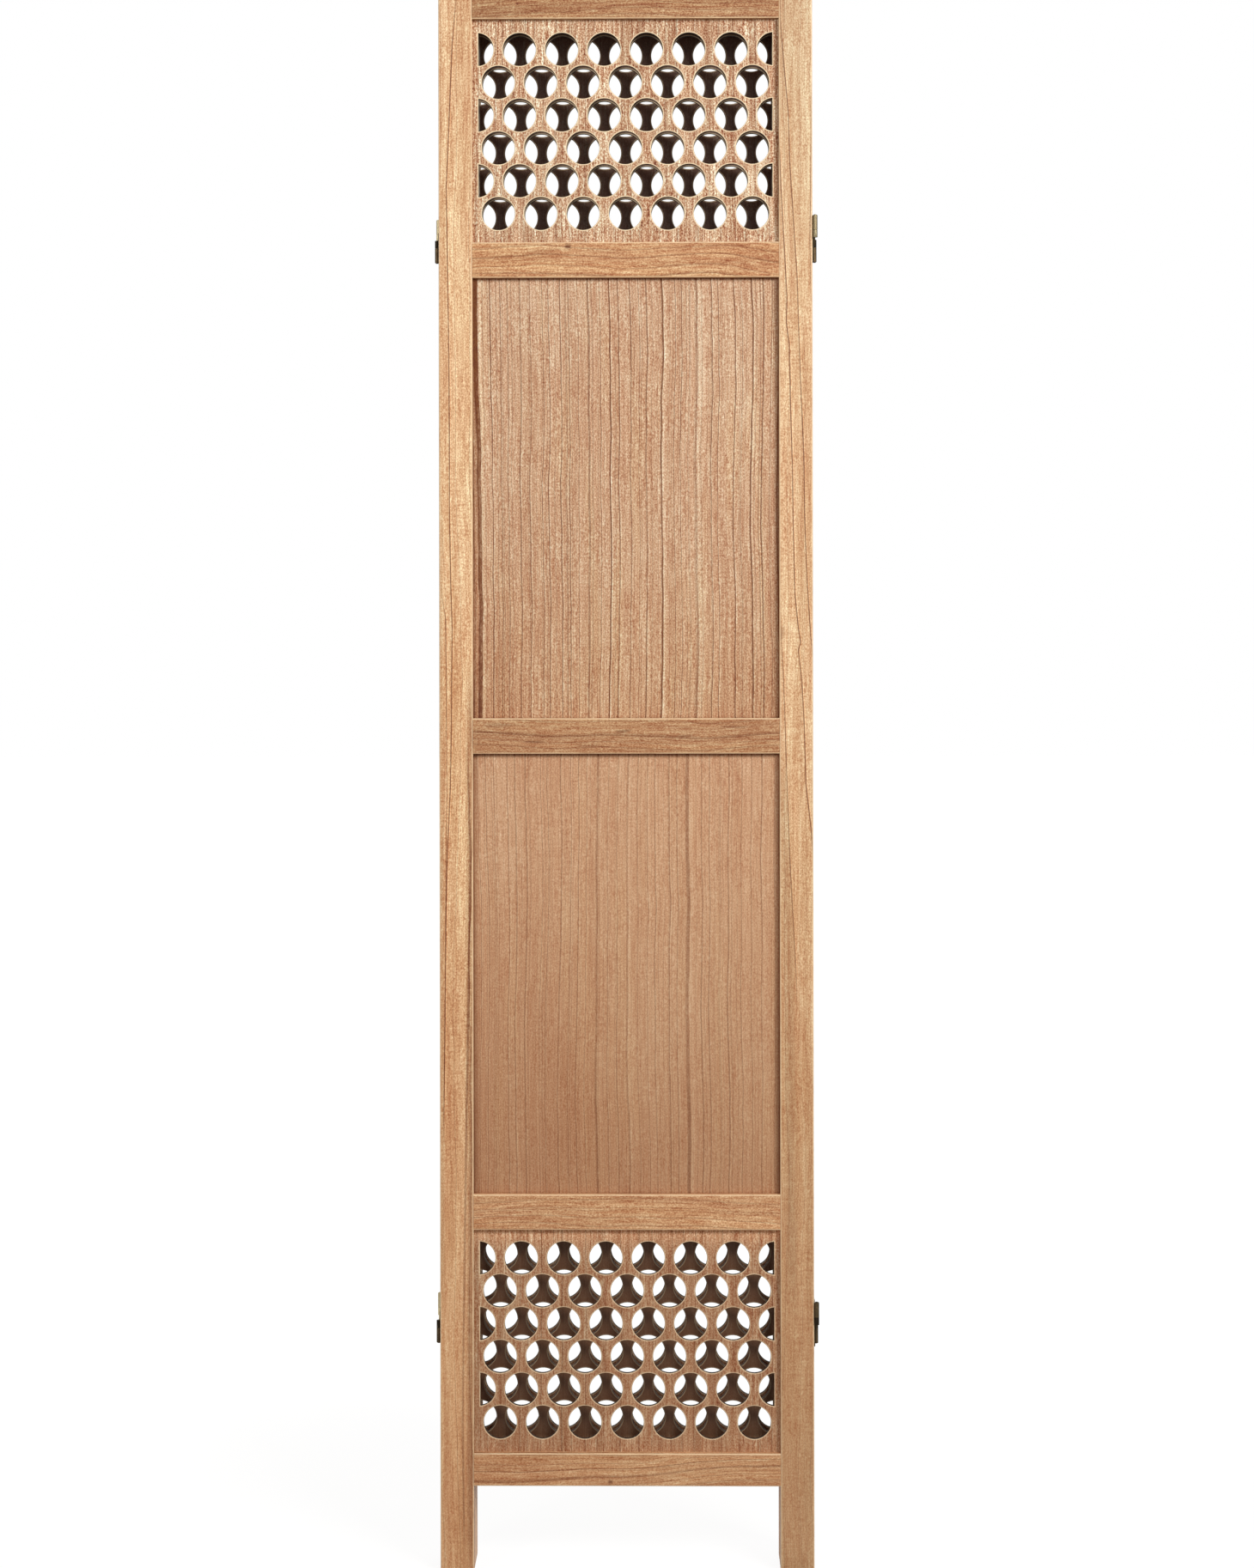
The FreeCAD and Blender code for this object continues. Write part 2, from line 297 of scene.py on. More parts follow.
def woodGrainGroup():
    habit = grainHabit
    white = (1.0, 1.0, 1.0, 1.0)
    inputs = {
        "Vector": "Vector",
        "Seed": 0.0,
        "Tone": 1.0,
        "Warmth": 0.0,
        "Grit": 1.0,
        "Figure And Shade": 0.0,
        "Low Shade": 0.0,
        "Light": white,
        "Dark": white,
        "Red": white,
        "Cream": white,
        "Line": white,
        "Bands Per Metre": 60.0,
        "Band Contrast": 1.0,
        "Thread Strength": 0.3,
        "Lines Per Metre": 60.0,
        "Line Share": 0.08,
        "Line Strength": 0.4,
        "Fibre Strength": 0.2,
        "Speckle Strength": 0.2,
        "Pore Strength": 0.2,
        "Ripple Strength": 0.1,
        "Waviness": 0.01,
    }
    outputs = {"Color": "Color", "Height": "Float", "Roughness": "Float"}
    tree, given, result = newTree("woodGrain", "ShaderNodeTree", inputs, outputs)

    seedShift = combine(*[given["Seed"] * factor for factor in habit["seedShift"]])
    place = vectorMaths("ADD", given["Vector"], seedShift)
    sway = swing("shiver", place) * habit["shiver"] + swing("sway", place) * given["Waviness"]
    place = vectorMaths("ADD", place, combine(sway, sway, 0.0))
    across, deep, _ = parted(place)

    # Two sets of growth lines, the second closer and fainter, over soft bands
    lineFeeds = {"Across": deep * habit["lean"] + across, "Vector": place}
    for label in ("Seed", "Lines Per Metre", "Line Share"):
        lineFeeds[label] = given[label]
    bold = placeGroup(tree, growthLines, lineFeeds)
    lineFeeds["Lines Per Metre"] = given["Lines Per Metre"] * habit["faintCount"]
    lineFeeds["Line Share"] = given["Line Share"] * habit["faintShare"]
    faint = placeGroup(tree, growthLines, lineFeeds)
    lines = clamped(faint["Dark"] * habit["faintDark"] + bold["Dark"])
    pale = clamped(faint["Pale"] * habit["faintPale"] + bold["Pale"])
    bandPlace = vectorMaths("MULTIPLY", place, (1, 1, habit["bandStretch"]))
    bandPlace = scaled(bandPlace, given["Bands Per Metre"])
    bands = rise(noise(bandPlace, (1, 1, 1), 2.0), *habit["bandRise"])

    # Bands, patches and growth lines give the colour
    bandDepth = given["Band Contrast"] * given["Grit"]
    patchDepth = given["Grit"] * habit["patchDepth"]
    lineDepth = given["Line Strength"] * given["Grit"]
    redHere = rise(pattern("redHere", place), *habit["redRise"])
    creamHere = rise(pattern("creamHere", place), *habit["creamRise"])
    share = clamped((bands - 0.5) * bandDepth + 0.5)
    colour = mixColour(share, given["Dark"], given["Light"])
    colour = mixColour(redHere * patchDepth, colour, given["Red"])
    colour = mixColour(creamHere * patchDepth, colour, given["Cream"])
    # Figure marks, and the painted shade at a board's edges, draw the colour towards the line colour
    colour = mixColour(clamped(lines * lineDepth + given["Figure And Shade"]), colour, given["Line"])

    # Finer patterns give its level, and what is darker is also warmer
    fibre = swing("fibre", place)
    speckle = swing("speckle", place)
    pores = rise(pattern("pores", place), *habit["poreRise"])
    rippleHere = rise(pattern("rippleHere", place), *habit["rippleRise"])
    fine = fibre * given["Fibre Strength"] + speckle * given["Speckle Strength"]
    fine = fine + swing("threads", place) * given["Thread Strength"]
    fine = fine + swing("ripple", place) * rippleHere * given["Ripple Strength"]
    # Painted shade towards the floor also calms the fine grain there
    calm = (given["Low Shade"] * -habit["lowShadeCalm"] + 1.0) * given["Grit"]
    level = fine * calm + 1.0
    level = level + swing("cloud", place) * habit["cloudDepth"]
    level = level + pale * lineDepth * habit["paleDepth"]
    level = level - pores * given["Pore Strength"]
    levels = combine(level, level ** habit["greenPower"], level ** habit["bluePower"])
    tone, warmth = given["Tone"], given["Warmth"]
    green = tone * (warmth * -habit["warmthGreen"] + 1.0)
    blue = tone * (warmth * -habit["warmthBlue"] + 1.0)
    # Painted shade: darker and warmer colour towards the floor
    tint = mixColour(given["Low Shade"], white, habit["lowShadeTint"])
    for factor in (levels, combine(tone, green, blue), tint):
        colour = vectorMaths("MULTIPLY", colour, factor)
    feed(result["Color"], colour)
    share = habit["height"]
    height = fibre * share["fibre"] + speckle * share["speckle"] + share["level"]
    feed(result["Height"], height - pores * share["pores"] - lines * share["lines"])
    share = habit["roughness"]
    feed(result["Roughness"], pores * share["pores"] + lines * share["lines"] + share["level"])
    return tree


wearHabit = {
    "patchStretch": (1, 1, 0.4),
    "patchRise": (0.3, 0.6),
    "patchDepth": 0.4,
    "edgeRise": (0.15, 0.8),
}


# Paler wood or brighter metal where hands and cloths have rubbed an arris
def edgeWearGroup():
    habit = wearHabit
    inputs = {
        "Color": (1.0, 1.0, 1.0, 1.0),
        "Vector": "Vector",
        "Edge": 0.0,
        "Worn": (1.0, 1.0, 1.0, 1.0),
        "Amount": 0.5,
        "Patches Per Metre": 120.0,
    }
    tree, given, result = newTree("edgeWear", "ShaderNodeTree", inputs, {"Color": "Color", "Mask": "Float"})
    place = scaled(given["Vector"], given["Patches Per Metre"])
    patch = rise(noise(place, habit["patchStretch"], 3.0, 0.6), *habit["patchRise"])
    patch = patch * habit["patchDepth"] + (1 - habit["patchDepth"])
    mask = clamped(rise(given["Edge"], *habit["edgeRise"]) * patch * given["Amount"])
    feed(result["Color"], mixColour(mask, given["Color"], given["Worn"]))
    feed(result["Mask"], mask)
    return tree


woodGrain = woodGrainGroup()
edgeWear = edgeWearGroup()


# The emptied node tree of a material or a world
def bareTree(holder):
    holder.use_nodes = True
    holder.node_tree.nodes.clear()
    return holder.node_tree


def newMaterial(name):
    material = bpy.data.materials.new(name)
    tree = bareTree(material)
    shader = put(tree, "ShaderNodeBsdfPrincipled")
    put(tree, "ShaderNodeOutputMaterial", {"Surface": Flow(shader.outputs[0])})
    return material, tree, shader


def attribute(tree, name):
    return flow(tree, "ShaderNodeAttribute", None, "Fac", attribute_name=name)


def objectPlace(tree):
    return flow(tree, "ShaderNodeTexCoord", None, "Object")


# Colour, roughness and the height of a shallow relief, in metres at most
def coat(shader, colour, roughness, height, bump, relief=0.3 * mm):
    feed(shader.inputs["Base Color"], colour)
    feed(shader.inputs["Roughness"], roughness)
    reliefFeeds = {"Strength": bump, "Distance": relief, "Height": height}
    feed(shader.inputs["Normal"], flow(treeOf([height]), "ShaderNodeBump", reliefFeeds))


# Painted shade: the wood is painted darker and warmer towards the floor, from this height down, as if less
# light reached it there
lowShadeHeight = 0.85


def lowShadeOf(place):
    return 1.0 - rise(parted(place)[2], 0.0, lowShadeHeight)


honeyWood = {
    "Light": colourOf(240, 201, 157),
    "Dark": colourOf(212, 165, 121),
    "Red": colourOf(222, 172, 132),
    "Cream": colourOf(242, 209, 166),
    "Line": colourOf(118, 64, 30),
    "Bands Per Metre": 62.0,
    "Band Contrast": 0.8,
    "Thread Strength": 0.6,
    "Lines Per Metre": 60.0,
    "Line Share": 0.08,
    "Line Strength": 0.32,
    "Fibre Strength": 0.8,
    "Speckle Strength": 1.15,
    "Pore Strength": 0.08,
    "Ripple Strength": 0.42,
    "Waviness": 0.02,
}
streakyWood = {
    "Light": colourOf(222, 172, 125),
    "Dark": colourOf(186, 133, 92),
    "Red": colourOf(196, 140, 102),
    "Cream": colourOf(226, 180, 134),
    "Line": colourOf(112, 62, 32),
    "Bands Per Metre": 110.0,
    "Band Contrast": 0.66,
    "Thread Strength": 0.6,
    "Lines Per Metre": 120.0,
    "Line Share": 0.2,
    "Line Strength": 0.5,
    "Fibre Strength": 1.25,
    "Speckle Strength": 1.5,
    "Pore Strength": 0.2,
    "Ripple Strength": 0.3,
    "Waviness": 0.05,
}
panelWood = {
    "Light": colourOf(219, 180, 147),
    "Dark": colourOf(196, 153, 119),
    "Red": colourOf(201, 154, 120),
    "Cream": colourOf(222, 187, 146),
    "Line": colourOf(112, 60, 22),
    "Bands Per Metre": 80.0,
    "Band Contrast": 0.5,
    "Thread Strength": 0.32,
    "Lines Per Metre": 92.0,
    "Line Share": 0.15,
    "Line Strength": 1.1,
    "Fibre Strength": 1.0,
    "Speckle Strength": 1.6,
    "Pore Strength": 0.1,
    "Ripple Strength": 0.36,
    "Waviness": 0.014,
}
fretWood = {
    "Light": colourOf(226, 189, 155),
    "Dark": colourOf(190, 149, 116),
    "Red": colourOf(200, 154, 122),
    "Cream": colourOf(234, 202, 166),
    "Line": colourOf(106, 56, 30),
    "Bands Per Metre": 110.0,
    "Band Contrast": 1.0,
    "Thread Strength": 0.8,
    "Lines Per Metre": 85.0,
    "Line Share": 0.12,
    "Line Strength": 0.62,
    "Fibre Strength": 2.2,
    "Speckle Strength": 2.6,
    "Pore Strength": 0.2,
    "Ripple Strength": 0.3,
    "Waviness": 0.008,
}


# Single growth lines on paths of their own. Each attribute holds the millimetres from its line's
# path, the line's strength and its half width in millimetres; a thin pale line runs beside it.
veinNames = ["vein1", "vein2", "vein3", "vein4", "vein5"]
veinHabit = {
    "darkEnd": (0.2, 1.6),
    "paleBeside": 2.2,  # in half widths, as the two ends are
    "paleEnd": (0.2, 1.5),
    "paleTone": 0.2,
    "beadDepth": 0.9,
    "beadFloor": 0.6,
}


def veins(tree, vector):
    habit = veinHabit
    dark, pale = 0.0, 0.0
    for name in veinNames:
        vein = flow(tree, "ShaderNodeAttribute", None, "Vector", attribute_name=name)
        offset, strength, halfWidth = parted(vein)
        widths = offset / halfWidth
        dark = (1.0 - rise(abs(widths), *habit["darkEnd"])) * strength + dark
        pale = (1.0 - rise(abs(widths - habit["paleBeside"]), *habit["paleEnd"])) * strength + pale
    beads = pattern("beads", vector) * habit["beadDepth"] + habit["beadFloor"]
    return clamped(dark * beads), pale


# What the grain of a wood needs: its own values, the place in the piece, the painted shade towards the floor
# and the piece's marks
pieceMarks = {"Seed": "pieceSeed", "Tone": "pieceTone", "Warmth": "pieceWarmth", "Grit": "pieceGrit"}


def grainFeeds(tree, wood):
    place = objectPlace(tree)
    feeds = {**wood, "Vector": place, "Low Shade": lowShadeOf(place)}
    for label, mark in pieceMarks.items():
        feeds[label] = attribute(tree, mark)
    return feeds


woodFinish = {"worn": colourOf(250, 222, 182), "wornSheen": 0.08, "specular": 0.35}


# Solid wood; grainTurn lays the grain along another axis
def woodMaterial(name, wood, grainTurn=None, bump=0.35, wornAmount=0.9, veined=False):
    material, tree, shader = newMaterial(name)
    feeds = grainFeeds(tree, wood)
    if grainTurn is not None:
        turnFeeds = {"Vector": feeds["Vector"], "Rotation": grainTurn}
        feeds["Vector"] = flow(tree, "ShaderNodeMapping", turnFeeds)
    feeds["Figure And Shade"] = attribute(tree, "figureAndShade")
    if veined:
        dark, pale = veins(tree, feeds["Vector"])
        feeds["Figure And Shade"] = feeds["Figure And Shade"] + dark
        feeds["Tone"] = pale * feeds["Tone"] * veinHabit["paleTone"] + feeds["Tone"]
    grain = placeGroup(tree, woodGrain, feeds)
    wornFeeds = {
        "Color": grain["Color"],
        "Vector": feeds["Vector"],
        "Edge": attribute(tree, "edge"),
        "Worn": woodFinish["worn"],
        "Amount": wornAmount,
    }
    worn = placeGroup(tree, edgeWear, wornFeeds)
    roughness = grain["Roughness"] - worn["Mask"] * woodFinish["wornSheen"]
    coat(shader, worn["Color"], roughness, grain["Height"], bump)
    shader.inputs["Specular IOR Level"].default_value = woodFinish["specular"]
    return material


fretFinish = {
    # Colours where the boards are smoked and painted in shade, light and deep
    "lightSootShade": colourOf(97, 65, 45),
    "deepSootShade": colourOf(76, 49, 40),
    "rim": colourOf(248, 226, 190),
    "wall": colourOf(34, 26, 23),
    "unevenPerMetre": (60, 60, 25),
    "smokeShadeEnd": (0.0, 0.9),
    "smokeShadeUneven": 0.3,
    "leastSmokeShade": 0.8,
    "mostSmokeShade": 0.93,
    "wallEnd": (0.02, 0.2),
    "rimEnd": (0.95, 1.4),
    "rimUneven": 0.4,
    "leastRim": 0.7,
    "rimSmokeShade": 0.55,
    "plainRim": 0.6,
    "wallCover": 0.95,
    "wallRoughness": 0.25,
    "bump": 0.4,
    "specular": 0.3,
}


# Pierced boards: pale sanded rims, scorched hole walls, and a back darkened round the holes that is both
# laser smoke and painted shade for the panels seen through the holes; the rearmost panel's front can carry
# painted shade too. A rim's places are given in millimetres out from the hole's wall.
def fretMaterial(name, wood):
    finish = fretFinish
    material, tree, shader = newMaterial(name)
    feeds = grainFeeds(tree, wood)
    grain = placeGroup(tree, woodGrain, feeds)
    uneven = noise(feeds["Vector"], finish["unevenPerMetre"], 3.0, 0.6)
    # Smoke and painted shade on the backs, and painted shade on the rearmost panel's front
    smokeAndShade = maths("MAXIMUM", attribute(tree, "smokeAndShade"), attribute(tree, "paintedFrontShade"))
    smokedAndShaded = rise(smokeAndShade, *finish["smokeShadeEnd"]) * (uneven * finish["smokeShadeUneven"] + finish["leastSmokeShade"])
    smokedAndShaded = maths("MINIMUM", smokedAndShaded, finish["mostSmokeShade"])
    # Painted shade: deeper on the upper boards
    depth = attribute(tree, "sootShade")
    sootShade = mixColour(depth, finish["lightSootShade"], finish["deepSootShade"])
    colour = mixColour(smokedAndShaded, grain["Color"], sootShade)
    offset = attribute(tree, "rimOffset")
    pastWall = rise(offset, *finish["wallEnd"])
    wall = 1.0 - pastWall
    rim = pastWall - rise(offset, *finish["rimEnd"])
    rim = clamped(rim * (uneven * finish["rimUneven"] + finish["leastRim"]))
    rim = rim * (smokedAndShaded * -finish["rimSmokeShade"] + 1.0)
    rim = rim * (depth * (1 - finish["plainRim"]) + finish["plainRim"])
    colour = mixColour(rim, colour, finish["rim"])
    colour = mixColour(wall * finish["wallCover"], colour, finish["wall"])
    roughness = wall * finish["wallRoughness"] + grain["Roughness"]
    coat(shader, colour, roughness, grain["Height"], finish["bump"])
    shader.inputs["Specular IOR Level"].default_value = finish["specular"]
    return material


metalFinish = {
    "cloudsPerMetre": (160, 160, 110),
    "cloudFrom": 0.35,
    "cloudTo": 0.75,
    "shareReach": 0.3,
    "cloudDepth": 0.8,
    "scratchesPerMetre": (2400, 2400, 500),
    "highlightColour": colourOf(208, 192, 152),
    "highlightDepth": 0.6,
    "leastHighlight": 0.7,
    "scratchRoughness": 0.2,
    "wornSheen": 0.12,
    "bump": 0.25,
    "relief": 0.1 * mm,
}


# Aged brass, dark where it is not rubbed, brighter with a painted highlight where a piece carries one
def metalMaterial(name, dark, bright, share, roughness, wornAmount=0.5):
    finish = metalFinish
    material, tree, shader = newMaterial(name)
    vector = objectPlace(tree)
    cloud = noise(vector, finish["cloudsPerMetre"], 4.0, 0.65)
    cloud = rise(cloud, finish["cloudFrom"] + share * finish["shareReach"], finish["cloudTo"])
    fine = noise(vector, finish["scratchesPerMetre"], 2.0, 0.6)
    colour = mixColour(cloud * finish["cloudDepth"], colourOf(*dark), colourOf(*bright))
    # Painted highlight
    paintedHighlight = attribute(tree, "paintedHighlight") * (fine * finish["highlightDepth"] + finish["leastHighlight"])
    wornFeeds = {
        "Color": mixColour(clamped(paintedHighlight), colour, finish["highlightColour"]),
        "Vector": vector,
        "Edge": attribute(tree, "edge"),
        "Worn": colourOf(*bright),
        "Amount": wornAmount,
        "Patches Per Metre": 400.0,
    }
    worn = placeGroup(tree, edgeWear, wornFeeds)
    roughness = fine * finish["scratchRoughness"] + roughness - worn["Mask"] * finish["wornSheen"]
    coat(shader, worn["Color"], roughness, fine, finish["bump"], finish["relief"])
    shader.inputs["Metallic"].default_value = 1.0
    return material


acrossGrain = (0, -quarterTurn, 0)
materials = {
    "stile_wood": woodMaterial("stileWood", honeyWood, veined=True),
    "rail_wood": woodMaterial("railWood", streakyWood, acrossGrain, 0.5),
    "board_wood": woodMaterial("boardWood", panelWood, None, 0.4, 0.0),
    "lattice_wood": fretMaterial("latticeWood", fretWood),
    "dowel_wood": woodMaterial("dowelWood", honeyWood, acrossGrain),
    "hinge_metal": metalMaterial("hingeMetal", (27, 23, 20), (112, 94, 68), 0.85, 0.34),
    "pin_metal": metalMaterial("pinMetal", (25, 22, 19), (104, 88, 64), 0.85, 0.3),
    "screw_metal": metalMaterial("screwMetal", (34, 29, 24), (132, 112, 82), 0.7, 0.34, 0.8),
}
print("materials made")


# Rounded shading, sharp where faces meet at more than so many degrees
def shaded(mesh, degrees):
    mesh.shade_smooth()
    mesh.set_sharp_from_angle(angle=math.radians(degrees))


def meshFrom(work, name):
    bmesh.ops.recalc_face_normals(work, faces=work.faces)
    mesh = bpy.data.meshes.new(name)
    work.to_mesh(mesh)
    work.free()
    return mesh


def addObject(name, data):
    added = bpy.data.objects.new(name, data)
    bpy.context.scene.collection.objects.link(added)
    return added


# A finished piece: its mesh, its material, its body, and the node that it stands for
def settle(mesh, node, slotName):
    mesh.materials.clear()
    mesh.materials.append(materials[slotName])
    piece = addObject(mesh.name, mesh)
    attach(piece, bodyOfNode[node])
    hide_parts(node)


# Values at a mesh's points: one for all of them, or a list
def pointValues(mesh, name, values):
    if not isinstance(values, list):
        values = [values] * len(mesh.vertices)
    layer = mesh.attributes.get(name) or mesh.attributes.new(name, "FLOAT", "POINT")
    layer.data.foreach_set("value", values)


def markPiece(mesh, seed, tones):
    for name, value in zip(pieceMarks.values(), (seed, *tones)):
        pointValues(mesh, name, value)


# How light, how warm and how gritty each piece of the front panel is beside its fellows; the
# others draw theirs
pieceTones = {
    "left_stile": (0.99, 0.08, 1.0),
    "right_stile": (0.95, -0.04, 0.9),
    "top_rail": (0.7, 0.18, 1.0),
    "upper_rail": (0.95, 0.12, 0.9),
    "middle_rail": (0.86, -0.02, 0.85),
    "lower_rail": (1.22, -0.24, 1.0),
    "bottom_rail": (1.32, -0.4, 1.0),
    "upper_board": (0.99, 0.04, 0.85),
    "lower_board": (0.95, 0.22, 0.48),
    "upper_lattice": (0.92, 0.12, 0.85),
    "lower_lattice": (0.96, 0.14, 0.7),
}

# Painted light and shade along the height of some pieces: how the tone and the warmth change from the bottom
# of a piece to its top: share of its height, factor of the tone, and what is added to the warmth
paintedHeightLight = {
    "left_stile": (
        (0, 1.17, -0.09), (0.055, 1.17, -0.09), (0.3, 1.06, 0.05), (0.55, 1.02, 0.05),
        (0.8, 0.99, 0), (1, 0.97, -0.08),
    ),
    "right_stile": (
        (0, 0.93, 0.06), (0.06, 0.93, 0.06), (0.3, 0.94, 0.14), (0.55, 1.06, -0.01),
        (0.8, 0.99, 0), (0.9, 0.9, -0.02), (1, 0.82, -0.06),
    ),
    "upper_board": (
        (0, 0.9, 0.26), (0.12, 0.93, 0.2), (0.4, 0.99, 0.02), (0.7, 1, 0), (1, 1, -0.08),
    ),
    "lower_board": (
        (0, 0.92, 0.06), (0.2, 0.95, 0.04), (0.5, 1, 0), (0.8, 1.05, -0.06), (1, 1.08, -0.1),
    ),
    "lower_lattice": (
        (0, 1.03, 0), (0.08, 1, 0), (0.16, 0.93, 0.04), (0.86, 0.93, 0.04), (0.93, 1.15, 0),
        (1, 1.58, 0),
    ),
}
drawnTones = {"tone": (0.86, 1.04), "warmth": (-0.06, 0.12), "grit": 0.9}
toneDraw = random.Random(11)


def toneOf(panel, part):
    if panel == 1:
        return pieceTones[part]
    tone = toneDraw.uniform(*drawnTones["tone"])
    return tone, toneDraw.uniform(*drawnTones["warmth"]), drawnTones["grit"]


def limited(value):
    return min(1.0, max(0.0, value))


# The values at a place along a broken line, whose points are (place, value, ...)
def valuesAt(points, place):
    for first, second in zip(points, points[1:]):
        if place <= second[0]:
            break
    share = limited((place - first[0]) / (second[0] - first[0]))
    return [low + (high - low) * share for low, high in zip(first[1:], second[1:])]


# Paints light and shade along a piece's height into its tone and warmth
def paintHeightLight(mesh, part, tones, low, high):
    toneValues, warmValues = [], []
    for vertex in mesh.vertices:
        factor, warmer = valuesAt(paintedHeightLight[part], (vertex.co.z - low.z) / (high.z - low.z))
        toneValues.append(tones[0] * factor)
        warmValues.append(tones[1] + warmer)
    pointValues(mesh, "pieceTone", toneValues)
    pointValues(mesh, "pieceWarmth", warmValues)


seedOf = {}
for panelNumber in panelNumbers:
    for partIndex, partName in enumerate(pieceTones):
        seedOf[(panelNumber, partName)] = panelNumber * 1.37 + partIndex * 0.61


waveCount = 4
waveRange = {"rate": (4, 26), "phase": (0, 2 * math.pi), "size": (0.4, 1)}


# A slow wander of a face along its length, always inwards
def wanderOf(seed, reach):
    draw = random.Random(seed)
    waves = []
    for _ in range(waveCount):
        waves.append([draw.uniform(*bounds) for bounds in waveRange.values()])
    total = sum(size for _, _, size in waves)

    def wander(along):
        lean = sum(size * math.sin(rate * along + phase) for rate, phase, size in waves)
        return reach * (0.5 + 0.5 * lean / total)

    return wander


# Boards and lattices reach this far into grooves of this depth
tongue = 5.0 * mm
grooveDepth = 6.0 * mm
memberFinish = {
    "arrisRadius": 1.2 * mm,
    "arrisSteps": 4,
    "leastCurve": 0.2,
    "wearBand": 0.9 * mm,
    "wearFall": 0.6,
    "stationGap": 0.03,
    "leastGap": 0.6 * mm,
    "faceColumn": 1.1 * mm,
    "faceWander": 0.16 * mm,
    "edgeWander": 0.08 * mm,
    "grooveSideGap": 0.1 * mm,
    "footRound": 0.9 * mm,
    "topRound": 0.6 * mm,
    "roundSteps": 3,
    "streakSteps": 6,
    "sharpDegrees": 40,
}

# Growth lines in the front panel's stiles: path points as (height, place across), both as shares
# of the stile from its foot and its left edge, then strength and half width in millimetres
stileVeins = {
    "left_stile": [
        {
            "path": [
                (0.286, 0.12), (0.351, 0.16), (0.421, 0.2), (0.453, 0.24), (0.495, 0.33),
                (0.529, 0.36), (0.567, 0.375), (0.594, 0.39), (0.621, 0.35), (0.664, 0.315),
                (0.718, 0.315), (0.772, 0.3), (0.81, 0.275), (0.848, 0.25), (0.872, 0.235),
                (0.891, 0.275), (0.929, 0.35), (0.961, 0.415), (0.988, 0.525),
            ],
            "strength": 0.9,
            "halfWidth": 0.6,
        },
        {
            "path": [
                (0.394, 0.17), (0.448, 0.2), (0.495, 0.23), (0.556, 0.215), (0.599, 0.2),
                (0.616, 0.08),
            ],
            "strength": 0.6,
            "halfWidth": 0.55,
        },
        {
            "path": [
                (0.021, 0.7), (0.091, 0.67), (0.145, 0.69), (0.216, 0.74), (0.264, 0.77),
                (0.318, 0.82), (0.372, 0.86), (0.41, 0.89), (0.453, 0.92), (0.513, 0.84),
            ],
            "strength": 0.42,
            "halfWidth": 1.2,
        },
        {
            "path": [
                (0.001, 0.95), (0.178, 0.96), (0.34, 0.98), (0.56, 1.02),
            ],
            "strength": 0.44,
            "halfWidth": 6.5,
        },
        {
            "path": [
                (0.178, 0.05), (0.502, 0.05), (0.664, 0.02),
            ],
            "strength": 0.2,
            "halfWidth": 3.0,
        },
    ],
    "right_stile": [
        {
            "path": [
                (0.575, 0.99), (0.588, 0.93), (0.621, 0.83), (0.664, 0.755), (0.702, 0.73),
                (0.74, 0.66), (0.772, 0.6), (0.816, 0.54), (0.859, 0.41), (0.886, 0.33), (0.918, 0.29),
                (0.945, 0.17), (0.978, 0.05),
            ],
            "strength": 0.8,
            "halfWidth": 0.6,
        },
        {
            "path": [
                (0.448, 0.99), (0.468, 0.93), (0.495, 0.78), (0.534, 0.73), (0.561, 0.66),
                (0.58, 0.56), (0.585, 0.63), (0.594, 0.56), (0.616, 0.46), (0.653, 0.42),
                (0.697, 0.39), (0.734, 0.34), (0.772, 0.31), (0.786, 0.22), (0.802, 0.24),
                (0.837, 0.15), (0.87, 0.07), (0.907, 0.0),
            ],
            "strength": 0.85,
            "halfWidth": 0.6,
        },
        {
            "path": [
                (0.805, 0.95), (0.837, 0.92), (0.88, 0.95), (0.934, 0.97),
            ],
            "strength": 0.6,
            "halfWidth": 0.55,
        },
        {
            "path": [
                (0.367, 0.5), (0.416, 0.38), (0.448, 0.3), (0.495, 0.22), (0.529, 0.17), (0.561, 0.12),
                (0.591, 0.05),
            ],
            "strength": 0.6,
            "halfWidth": 0.6,
        },
        {
            "path": [
                (0.178, 0.34), (0.286, 0.3), (0.394, 0.25), (0.502, 0.1),
            ],
            "strength": 0.2,
            "halfWidth": 5.0,
        },
    ],
}
veinFade = 0.03  # how long a line takes to fade in and out, as a share of the stile
stileStreaks = {
    "right_stile": [{"x": (0.06, 0.09), "z": (0.585, 0.597), "width": 0.05, "strength": 0.4, "fade": 0.004}],
}


# Lines for the stiles behind the front panel, drawn by chance
drawnVein = {
    "start": (0, 0.6),
    "across": (0.05, 0.95),
    "lean": (-0.5, 0.5),
    "steps": 8,
    "stepLength": 0.05,
    "wander": (-0.03, 0.03),
    "thinShare": 0.7,
    "thinHalfWidth": 0.5,
    "wideHalfWidth": (2, 5),
    "thinStrength": (0.35, 0.6),
    "wideStrength": 0.22,
}


def drawnVeins(seed):
    draw = random.Random(seed)
    habit = drawnVein
    drawn = []
    for _ in veinNames:
        start, across = draw.uniform(*habit["start"]), draw.uniform(*habit["across"])
        lean = draw.uniform(*habit["lean"])
        points = []
        for step in range(habit["steps"] + 1):
            place = across + lean * step / habit["steps"] + draw.uniform(*habit["wander"])
            points.append((start + step * habit["stepLength"], place))
        thin = draw.random() < habit["thinShare"]
        halfWidth = habit["thinHalfWidth"] if thin else draw.uniform(*habit["wideHalfWidth"])
        strength = draw.uniform(*habit["thinStrength"]) if thin else habit["wideStrength"]
        drawn.append({"path": points, "strength": strength, "halfWidth": halfWidth})
    return drawn


# The place across, at a height, of a vein's path, and how strong the line is there
def veinAt(vein, height):
    path = vein["path"]
    inside = min(height - path[0][0], path[-1][0] - height)
    return valuesAt(path, height)[0], vein["strength"] * limited(0.5 + inside / veinFade)


